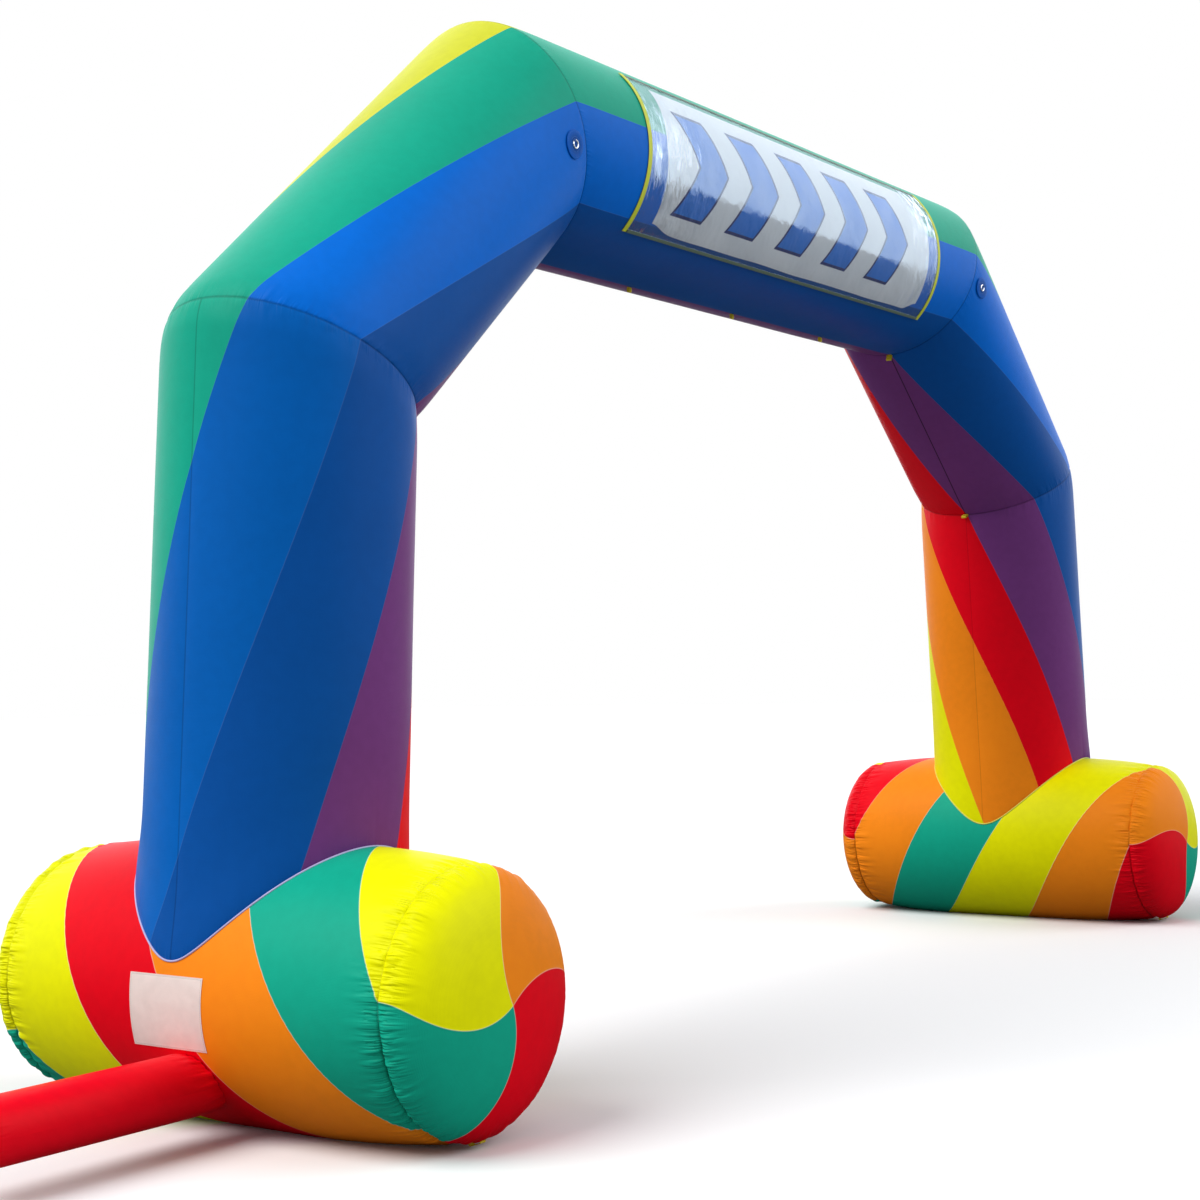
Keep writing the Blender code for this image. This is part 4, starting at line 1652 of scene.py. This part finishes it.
    def print_finish(self) -> bpy.types.Material:
        """White sheet with a row of blue chevrons outlined in navy."""
        finish = Finish("banner_print", 0.5)
        g = finish.graph
        turn, run = finish.place()
        down = g.math("MULTIPLY", turn, math.tau * self.plan.tube_r)
        aside = g.math("ABSOLUTE", g.math("SUBTRACT", down, 0.012))
        level = g.math("MULTIPLY_ADD", aside, self.slant, g.math("ADD", run, self.first_tip))
        beat = g.math("DIVIDE", level, self.pitch)
        off = g.math("ABSOLUTE", g.math("SUBTRACT", g.math("FRACT", beat), 0.5))
        inside = g.math("SUBTRACT", self.stroke / 2, g.math("MULTIPLY", off, self.pitch))
        height = g.math("SUBTRACT", self.motif_half, aside)
        first = level
        last = g.math("SUBTRACT", self.pitch * self.motifs, level)
        depth = g.math("MINIMUM", g.math("MINIMUM", inside, height), g.math("MINIMUM", first, last))
        fill = g.fade(depth, -0.0008, 0.0008, 0.0, 1.0)
        core = g.fade(depth, self.outline - 0.0008, self.outline + 0.0008, 0.0, 1.0)
        grey = g.noise(finish.object_place(), 5.0)
        white = g.mix(grey, (0.88, 0.91, 0.94, 1.0), (0.78, 0.82, 0.86, 1.0))
        outlined = g.mix(fill, white, (0.006, 0.010, 0.150, 1.0))
        finish.colour(g.mix(core, outlined, (0.000, 0.180, 0.720, 1.0)))
        crumple = g.noise(g.vector(run, g.math("MULTIPLY", down, 0.6), 3.0), 20.0, 3.0)
        depth = g.fade(g.math("ADD", run, -self.insert_ends[0]), 0.05, 0.45, 0.022, 0.006)
        finish.bump(g.math("MULTIPLY", crumple, depth))
        return finish.material

    def film_finish(self) -> bpy.types.Material:
        """Clear glossy film that mirrors the sky, wrinkled towards its ends, with painted highlights:
        whiter streaks near its ends and whiter folds near its upper corner at the +X end.
        """
        finish = Finish("clear_film", 0.06, 0.85)
        g = finish.graph
        turn, run = finish.place()
        down = g.math("MULTIPLY", turn, math.tau * self.plan.tube_r)
        place = g.vector(run, down, 0.0)
        haze = g.noise(place, 6.0, 4.0)
        finish.colour(g.mix(haze, (0.66, 0.80, 0.95, 1.0), (0.80, 0.90, 1.0, 1.0)))
        end = g.math("SUBTRACT", self.half, g.math("ABSOLUTE", run))
        strength = g.fade(end, 0.04, 0.42, 1.0, 0.14)
        streak = g.noise(g.vector(g.math("MULTIPLY", run, 4.0), down, 1.0), 6.0, 3.0)
        aside = g.math("SUBTRACT", self.half, run)
        below = g.math("ADD", down, self.angle * self.plan.tube_r)
        corner_gap = g.math("SQRT", g.math(
            "ADD", g.math("MULTIPLY", aside, aside), g.math("MULTIPLY", below, below)
        ))
        gathered = g.fade(corner_gap, 0.08, 0.32, 1.0, 0.0)
        fold = g.noise(g.vector(g.math("MULTIPLY", run, 2.0), down, 5.0), 16.0, 2.0)
        near_end = g.fade(end, 0.02, 0.22, 1.0, 0.0)
        # Painted highlights, made by raising the alpha: whiter streaks near the ends and whiter folds
        # near the upper corner at the +X end.
        painted_highlight_streaks = g.math("MULTIPLY", g.fade(streak, 0.50, 0.64, 0.0, 0.22), near_end)
        white = g.math("MULTIPLY", g.fade(fold, 0.46, 0.56, 0.0, 0.75), gathered)
        clear = g.fade(haze, 0.25, 0.75, 0.12, 0.17)
        g.put(finish.shader.inputs["Alpha"], g.math("ADD", clear, g.math("MAXIMUM", painted_highlight_streaks, white)))
        soft = g.noise(place, 5.0, 2.0)
        crumple = g.math("MULTIPLY", g.math("MULTIPLY", streak, strength), 0.018)
        bunched = g.math("MULTIPLY", g.math("MULTIPLY", fold, gathered), 0.034)
        finish.bump(crumple, bunched, g.math("MULTIPLY", soft, 0.006))
        return finish.material

    def tape_finish(self, name: str, tone: tuple[float, float, float]) -> bpy.types.Material:
        """Yellow-green binding tape with a row of stitches, with painted shade that darkens it towards
        its edges.
        """
        finish = Finish(name, 0.55)
        g = finish.graph
        turn, run = finish.place()
        down = g.math("MULTIPLY", turn, math.tau * self.plan.tube_r)
        weave = g.group(self.effects.weave, place=g.vector(run, down, 0.0), thread=0.0015)
        gap = finish.attribute("seam_gap")
        along = g.math("ADD", run, down)
        stitch = g.group(
            self.effects.stitch, along=along, across=g.math("SUBTRACT", gap, 0.004)
        )
        # Painted shade darkens the tape towards its edges.
        light, dark = (*tone, 1.0), (*(0.7 * value for value in tone), 1.0)
        toned = g.scale_colour(g.mix(g.fade(gap, 0.0, 0.006, 0.8, 0.0), light, dark), weave["Tone"])
        pale = tuple(min(1.0, 1.35 * value + 0.02) for value in tone)
        finish.colour(g.mix(g.math("MULTIPLY", stitch["Thread"], 0.5), toned, (*pale, 1.0)))
        finish.bump(weave["Height"], stitch["Height"])
        return finish.material


@dataclass
class Label:
    """The bare white label sewn to the left foot."""

    plan: ArchPlan
    effects: Effects
    y_ends: tuple[float, float] = (-0.140, 0.157)
    angles: tuple[float, float] = (math.radians(-18.5), math.radians(10.2))
    thickness: float = 0.001

    def build(self) -> None:
        """Make the label, its long edges bowed a little."""
        centre = self.plan.foot(Hand.LEFT)
        shape = ClothShape()
        bmesh.ops.create_grid(shape.bm, x_segments=60, y_segments=44, size=0.5)
        for vert in shape.bm.verts:
            along, up = vert.co.x + 0.5, vert.co.y + 0.5
            bow = 0.002 * (1.0 - (2.0 * up - 1.0) ** 2) * (1.0 if along < 0.5 else -1.0)
            y = self.y_ends[0] + (self.y_ends[1] - self.y_ends[0]) * along
            y += bow * abs(2.0 * along - 1.0) ** 3
            angle = self.angles[0] + (self.angles[1] - self.angles[0]) * up
            edge = min(along, 1.0 - along, up, 1.0 - up)
            curl = 0.0010 * noise.noise(Vector((along * 5.0, up * 4.0, 7.0))) * smooth(0.0, 0.1, edge)
            radius = self.plan.foot_radius(y) + GAP + self.thickness + max(0.0, curl)
            spoke = Vector((-math.cos(angle), 0.0, math.sin(angle)))
            vert.co = centre + spoke * radius + Vector((0.0, y, 0.0))
            vert[shape.turn] = angle / math.tau
            vert[shape.run] = y
            vert[shape.seam] = min(
                min(along, 1.0 - along) * (self.y_ends[1] - self.y_ends[0]),
                min(up, 1.0 - up) * (self.angles[1] - self.angles[0]) * self.plan.foot_r,
            )
        piece = shape.finish_sheet("label_white", self.thickness, Vector((-1.0, 0.0, 0.0)))
        dress(piece, self.finish(), "label_cloth", "label")

    def finish(self) -> bpy.types.Material:
        """Bare white label cloth, sewn down round its edge."""
        finish = Finish("label_cloth", 0.55)
        g = finish.graph
        turn, run = finish.place()
        up = g.math("MULTIPLY", turn, math.tau * self.plan.foot_r)
        place = g.vector(run, up, 0.0)
        weave = g.group(self.effects.weave, place=place, thread=0.0012)
        gap = finish.attribute("seam_gap")
        stitch = g.group(
            self.effects.stitch, along=g.math("ADD", run, up), across=g.math("SUBTRACT", gap, 0.005)
        )
        worn = g.mix(g.noise(place, 18.0, 3.0), (0.93, 0.80, 0.74, 1.0), (0.84, 0.71, 0.65, 1.0))
        toned = g.scale_colour(worn, weave["Tone"])
        finish.colour(g.mix(g.math("MULTIPLY", stitch["Thread"], 0.5), toned, (0.45, 0.42, 0.40, 1.0)))
        finish.bump(weave["Height"], stitch["Height"], g.math("MULTIPLY", g.noise(place, 14.0), 0.0012))
        return finish.material


@dataclass
class Anchors:
    """A round patch with a steel ring and its keeper on each shoulder's front."""

    plan: ArchPlan
    effects: Effects
    cloth: ClothFinish
    back: float = 0.100
    tilt: float = math.radians(4.5)
    patch_r: float = 0.050
    patch_thick: float = 0.003
    ring_r: float = 0.014
    ring_bar: float = 0.003

    def build(self) -> None:
        """Make both anchors."""
        steel = self.steel_finish()
        patch = self.patch_finish()
        for hand in Hand:
            self.patch(hand, patch)
            self.ring(hand, steel)
            self.keeper(hand)

    def axis(self, hand: Hand) -> TubeAxis:
        """The shoulder's centre line."""
        return TubeAxis.between(
            self.plan.knee(hand), self.plan.corner(hand), Vector((self.plan.middle_x, 0.0, 0.0))
        )

    def patch(self, hand: Hand, material: bpy.types.Material) -> None:
        """A round patch that follows the tube, its edge turned under."""
        axis = self.axis(hand)
        run0 = (axis.end - axis.start).length - self.back
        shape = ClothShape()
        verts = shape.strip(72, 14)
        for vert in verts:
            angle = math.atan2(vert.co.y, vert.co.x)
            reach = self.patch_r * (1.0 - vert.co.z)
            rolled = self.patch_thick * 0.45 * smooth(self.patch_r - 0.003, self.patch_r, reach)
            place = self.tilt + reach * math.sin(angle) / self.plan.tube_r
            top = self.plan.tube_r + GAP + self.patch_thick - rolled
            vert.co = axis.at(run0 + reach * math.cos(angle), place, top)
            vert[shape.turn] = angle / math.tau
            vert[shape.run] = reach
            vert[shape.seam] = self.patch_r - reach
        centre = axis.at(run0, self.tilt, self.plan.tube_r + GAP + self.patch_thick)
        tip = [vert for vert in verts if vert[shape.run] < 1e-5]
        bmesh.ops.pointmerge(shape.bm, verts=tip, merge_co=centre)
        piece = shape.finish_sheet(f"anchor_patch_{hand.word}_cloth", 0.0026, FRONT)
        dress(piece, material, "patch_cloth", "anchor_patch_" + hand.word)

    def patch_finish(self) -> bpy.types.Material:
        """Dark blue reinforcing cloth with two rings of stitches, with painted shade that darkens it
        towards the ring.
        """
        finish = self.cloth.start("patch_cloth")
        g = finish.graph
        turn, reach = finish.place()
        weave = g.group(self.effects.weave, place=finish.object_place(), thread=0.002)
        around = g.math("MULTIPLY", turn, math.tau * self.patch_r)
        rows = [
            g.group(self.effects.stitch, along=around, across=g.math("SUBTRACT", reach, place))
            for place in (self.patch_r - 0.005, self.patch_r * 0.52)
        ]
        thread = g.math("MAXIMUM", rows[0]["Thread"], rows[1]["Thread"])
        # Painted shade: the patch is darker towards the ring.
        painted_shade_falloff = g.fade(reach, self.ring_r, self.patch_r, 0.0, 1.0)
        base = g.mix(painted_shade_falloff, (0.000, 0.060, 0.300, 1.0), (0.000, 0.110, 0.540, 1.0))
        toned = g.scale_colour(base, weave["Tone"])
        finish.colour(g.mix(thread, toned, (0.02, 0.16, 0.60, 1.0)))
        finish.bump(weave["Height"], rows[0]["Height"], rows[1]["Height"])
        return finish.material

    def seat(self, hand: Hand) -> tuple[Vector, Vector, Vector]:
        """Where the ring lies: its centre, the way out and the way up round the tube."""
        low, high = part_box("anchor_ring_" + hand.word)
        axis = self.axis(hand)
        out = axis.spoke(self.tilt)
        across = out.cross(axis.along)
        return middle(low, high), out, across if across.z > 0.0 else -across

    def ring(self, hand: Hand, material: bpy.types.Material) -> None:
        """A welded steel ring."""
        centre, out, across = self.seat(hand)
        bm = bmesh.new()
        bmesh.ops.create_circle(
            bm, segments=20, radius=self.ring_bar,
            matrix=axes_matrix(centre + across * self.ring_r, across, out.cross(across)),
        )
        bmesh.ops.spin(
            bm, geom=bm.verts[:] + bm.edges[:], cent=centre, axis=out,
            angle=math.tau, steps=72, use_merge=True,
        )
        bmesh.ops.remove_doubles(bm, verts=bm.verts, dist=0.00001)
        bmesh.ops.recalc_face_normals(bm, faces=bm.faces)
        piece = mesh_object(f"anchor_ring_{hand.word}_steel", bm)
        dress(piece, material, "ring_steel", "anchor_ring_" + hand.word)

    def steel_finish(self) -> bpy.types.Material:
        """Polished steel with fine scratches."""
        finish = Finish("ring_steel", 0.25, 1.0)
        g = finish.graph
        place = finish.object_place()
        scratch = g.noise(place, 900.0, 3.0)
        finish.colour(g.mix(scratch, (0.70, 0.71, 0.73, 1.0), (0.86, 0.87, 0.88, 1.0)))
        g.put(finish.shader.inputs["Roughness"], g.fade(scratch, 0.3, 0.7, 0.16, 0.34))
        finish.bump(g.math("MULTIPLY", scratch, 0.00004))
        return finish.material

    def keeper(self, hand: Hand) -> None:
        """The short strap over the ring's upper bar, its ends sewn to the patch."""
        centre, out, across = self.seat(hand)
        width_axis = across.cross(out).normalized()
        middle_point = centre + across * self.ring_r - out * self.ring_bar
        outline = []
        for step in range(13):
            turn = math.pi * step / 12
            outline.append((-0.0062 * math.cos(turn), 0.0072 * math.sin(turn) ** 0.6))
        bm = bmesh.new()
        base = middle_point - width_axis * 0.006
        verts = [bm.verts.new(base + across * u + out * v) for u, v in outline]
        edges = [bm.edges.new(pair) for pair in zip(verts, verts[1:])]
        grown = bmesh.ops.extrude_edge_only(bm, edges=edges)["geom"]
        moved = [item for item in grown if isinstance(item, bmesh.types.BMVert)]
        bmesh.ops.translate(bm, verts=moved, vec=width_axis * 0.012)
        bmesh.ops.recalc_face_normals(bm, faces=bm.faces)
        bmesh.ops.solidify(bm, geom=bm.faces[:], thickness=0.0012)
        bmesh.ops.recalc_face_normals(bm, faces=bm.faces)
        piece = mesh_object(f"ring_keeper_{hand.word}_strap", bm)
        finish = Webbing(self.effects).finish(f"keeper_{hand.word}", (0.004, 0.085, 0.36))
        dress(piece, finish, "keeper_webbing", "ring_keeper_" + hand.word)


@dataclass(frozen=True)
class Webbing:
    """Woven tape, ribbed along its length."""

    effects: Effects
    rib: float = 0.0016

    def finish(self, name: str, tone: tuple[float, float, float]) -> bpy.types.Material:
        """The tape's material in one tone."""
        made = Finish(name, 0.62)
        g = made.graph
        place = made.object_place()
        x, y, z = g.split(place)
        slope = g.math("ADD", x, g.math("ADD", y, z))
        ribs = g.math("SINE", g.math("MULTIPLY", slope, math.tau / self.rib))
        back = g.math("SUBTRACT", x, g.math("ADD", y, z))
        cross = g.math("SINE", g.math("MULTIPLY", back, math.tau / self.rib))
        weave = g.math("MULTIPLY", ribs, cross)
        tone_now = g.math("MULTIPLY_ADD", weave, 0.08, g.fade(g.noise(place, 40.0), 0.3, 0.7, 0.88, 1.05))
        made.colour(g.scale_colour(g.mix(0.0, (*tone, 1.0), (0.0, 0.0, 0.0, 1.0)), tone_now))
        made.bump(g.math("MULTIPLY", weave, 0.00025))
        return made.material


@dataclass
class Loops:
    """The yellow webbing loops in the bends, under the beam and at the feet."""

    plan: ArchPlan
    effects: Effects
    thickness: float = 0.002
    arc_steps: int = 12

    def build(self) -> None:
        """Make every loop inside the box of its solid."""
        material = Webbing(self.effects).finish("loop_webbing", (0.86, 0.68, 0.010))
        depth, across = Vector((0.0, 1.0, 0.0)), Vector((1.0, 0.0, 0.0))
        for hand in Hand:
            foot, knee = self.plan.foot(hand), self.plan.knee(hand)
            corner, other = self.plan.corner(hand), self.plan.corner(Hand(-hand.value))
            for word, trio in (("knee", (foot, knee, corner)), ("corner", (knee, corner, other))):
                first, second = trio[1] - trio[0], trio[2] - trio[1]
                out = (second.normalized() - first.normalized()).normalized()
                self.loop(f"{word}_loop_{hand.word}", out, depth, material)
            self.loop("foot_loop_" + hand.word, self.foot_way(), across, material)
        for word in ("left", "middle", "right"):
            self.loop("beam_loop_" + word, -UP, across, material)

    def foot_way(self) -> Vector:
        """The way a foot loop lies: along the first stretch of the dome's underside."""
        step = QUARTER / 6
        rise = self.plan.foot_seam_r * (1.0 - math.cos(step))
        return (FRONT * self.plan.cap_depth * math.sin(step) + UP * rise).normalized()

    def loop(self, name: str, out: Vector, wide: Vector, material: bpy.types.Material) -> None:
        """One loop: a tape folded to an eye, with rounded edges.

        Args:
            name: the node's name.
            out: the way the loop stands out of its seam.
            wide: the way along the tape's width.
            material: the webbing.
        """
        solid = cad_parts[name]
        points = [vert.co for vert in solid.data.vertices]
        height = out.cross(wide).normalized()
        spans = [
            (min(p.dot(way) for p in points), max(p.dot(way) for p in points))
            for way in (out, wide, height)
        ]
        radius = (spans[2][1] - spans[2][0]) / 2 - self.thickness / 2
        length = spans[0][1] - spans[0][0] - self.thickness
        base = (
            out * (spans[0][0] + self.thickness / 2) + wide * spans[1][0]
            + height * (spans[2][0] + spans[2][1]) / 2
        )
        outline = []
        for centre, turn in ((length - radius, -QUARTER), (radius, QUARTER)):
            for step in range(self.arc_steps + 1):
                angle = turn + math.pi * step / self.arc_steps
                outline.append((centre + radius * math.cos(angle), radius * math.sin(angle)))
        bm = bmesh.new()
        verts = [bm.verts.new(base + out * u + height * v) for u, v in outline]
        edges = [bm.edges.new((verts[i - 1], verts[i])) for i in range(len(verts))]
        grown = bmesh.ops.extrude_edge_only(bm, edges=edges)["geom"]
        moved = [item for item in grown if isinstance(item, bmesh.types.BMVert)]
        bmesh.ops.translate(bm, verts=moved, vec=wide * (spans[1][1] - spans[1][0]))
        bmesh.ops.recalc_face_normals(bm, faces=bm.faces)
        piece = mesh_object(name + "_tape", bm)
        solidify = piece.modifiers.new("tape", "SOLIDIFY")
        solidify.thickness = self.thickness
        solidify.offset = 0.0
        bevel = piece.modifiers.new("edge", "BEVEL")
        bevel.width = 0.0007
        bevel.segments = 2
        dress(piece, material, "loop_webbing", name)


@dataclass
class Studio:
    """Floor, light and the camera at the photograph's angle."""

    plan: ArchPlan
    eye: Vector = Vector((-7.0951, -4.2975, 1.3026))
    yaw: float = math.radians(54.7929)
    pitch: float = math.radians(3.9189)
    roll: float = math.radians(-1.2013)
    focal: float = 1967.91
    frame_side: float = 1200.0
    sensor: float = 36.0
    axis_row: float = 540.0
    sky: float = 0.44
    mirrored_sky: float = 1.7
    key_power: float = 2.4
    fill_power: float = 1.1
    soft_angle: float = math.radians(42.0)
    key_way: Vector = Vector((-0.60, 0.28, 0.75))
    fill_way: Vector = Vector((0.45, -0.75, 0.48))

    def build(self) -> None:
        """Set up the stage."""
        bpy.context.scene.view_settings.view_transform = "Standard"
        self.world()
        self.floor()
        self.lights()
        self.camera()

    def world(self) -> None:
        """White surroundings: the camera sees them plain, mirrors see them brighter."""
        world = bpy.data.worlds.new("studio")
        world.use_nodes = True
        bpy.context.scene.world = world
        g = Graph(world.node_tree)
        shade = world.node_tree.nodes["Background"]
        seen = g.node("ShaderNodeBackground")
        seen.inputs["Color"].default_value = (1.0, 1.0, 1.0, 1.0)
        seen.inputs["Strength"].default_value = 1.0
        shade.inputs["Strength"].default_value = self.sky
        shade.inputs["Color"].default_value = (0.93, 0.97, 1.0, 1.0)
        mirrored = g.node("ShaderNodeBackground")
        mirrored.inputs["Color"].default_value = (0.90, 0.96, 1.0, 1.0)
        mirrored.inputs["Strength"].default_value = self.mirrored_sky
        path = g.node("ShaderNodeLightPath")
        glossy = g.node("ShaderNodeMixShader")
        g.put(glossy.inputs[0], path.outputs["Is Glossy Ray"])
        g.put(glossy.inputs[1], shade.outputs[0])
        g.put(glossy.inputs[2], mirrored.outputs[0])
        mixed = g.node("ShaderNodeMixShader")
        g.put(mixed.inputs[0], path.outputs["Is Camera Ray"])
        g.put(mixed.inputs[1], glossy.outputs[0])
        g.put(mixed.inputs[2], seen.outputs[0])
        g.put(world.node_tree.nodes["World Output"].inputs["Surface"], mixed.outputs[0])

    def floor(self) -> None:
        """A pale floor that throws back less light than it shows."""
        bm = bmesh.new()
        bmesh.ops.create_grid(bm, x_segments=8, y_segments=8, size=60.0)
        piece = mesh_object("floor", bm)
        piece.location.z = -0.0005
        finish = Finish("floor_pale", 0.9)
        g = finish.graph
        path = g.node("ShaderNodeLightPath")
        unseen = g.mix(path.outputs["Is Glossy Ray"], (0.30, 0.31, 0.32, 1.0), (0.05, 0.06, 0.07, 1.0))
        finish.colour(g.mix(path.outputs["Is Camera Ray"], unseen, (1.0, 1.0, 1.0, 1.0)))
        finish.shader.inputs["Specular IOR Level"].default_value = 0.0
        piece.data.materials.append(finish.material)

    def lights(self) -> None:
        """A broad soft light from the left and above, and a weak one from the front."""
        for name, power, way in (
            ("key", self.key_power, self.key_way), ("fill", self.fill_power, self.fill_way),
        ):
            data = bpy.data.lights.new(name, "SUN")
            data.energy = power
            data.angle = self.soft_angle
            data.specular_factor = 0.4
            made = bpy.data.objects.new(name, data)
            made.rotation_euler = way.to_track_quat("Z", "Y").to_euler()
            bpy.context.scene.collection.objects.link(made)

    def camera(self) -> None:
        """The photograph's camera, fitted to the arch's outlines."""
        ahead = Vector((
            math.sin(self.yaw) * math.cos(self.pitch),
            math.cos(self.yaw) * math.cos(self.pitch),
            math.sin(self.pitch),
        ))
        level = Vector((math.cos(self.yaw), -math.sin(self.yaw), 0.0))
        above = level.cross(ahead)
        right = level * math.cos(self.roll) + above * math.sin(self.roll)
        top = above * math.cos(self.roll) - level * math.sin(self.roll)
        data = bpy.data.cameras.new("photo_camera")
        data.sensor_width = self.sensor
        data.lens = self.focal / self.frame_side * self.sensor
        data.shift_y = (self.axis_row - self.frame_side / 2) / self.frame_side
        data.clip_end = 200.0
        made = bpy.data.objects.new("photo_camera", data)
        turn = Matrix((right, top, -ahead)).transposed().to_4x4()
        place = self.eye + Vector((self.plan.middle_x, 0.0, 0.0))
        made.matrix_world = Matrix.Translation(place) @ turn
        bpy.context.scene.collection.objects.link(made)
        bpy.context.scene.camera = made


def main() -> None:
    """Build the stage and every sub-assembly of the arch."""
    logging.basicConfig(level=logging.INFO, format="%(name)s %(message)s")
    plan = ArchPlan()
    effects = Effects()
    cloth = ClothFinish(effects)
    Studio(plan).build()
    Tubes(plan, cloth).build()
    Feet(plan, cloth).build()
    Piping(plan).build()
    Inlet(plan, cloth).build()
    BannerPocket(plan, effects).build()
    Label(plan, effects).build()
    Anchors(plan, effects, cloth).build()
    Loops(plan, effects).build()


if __name__ == "__main__":
    main()
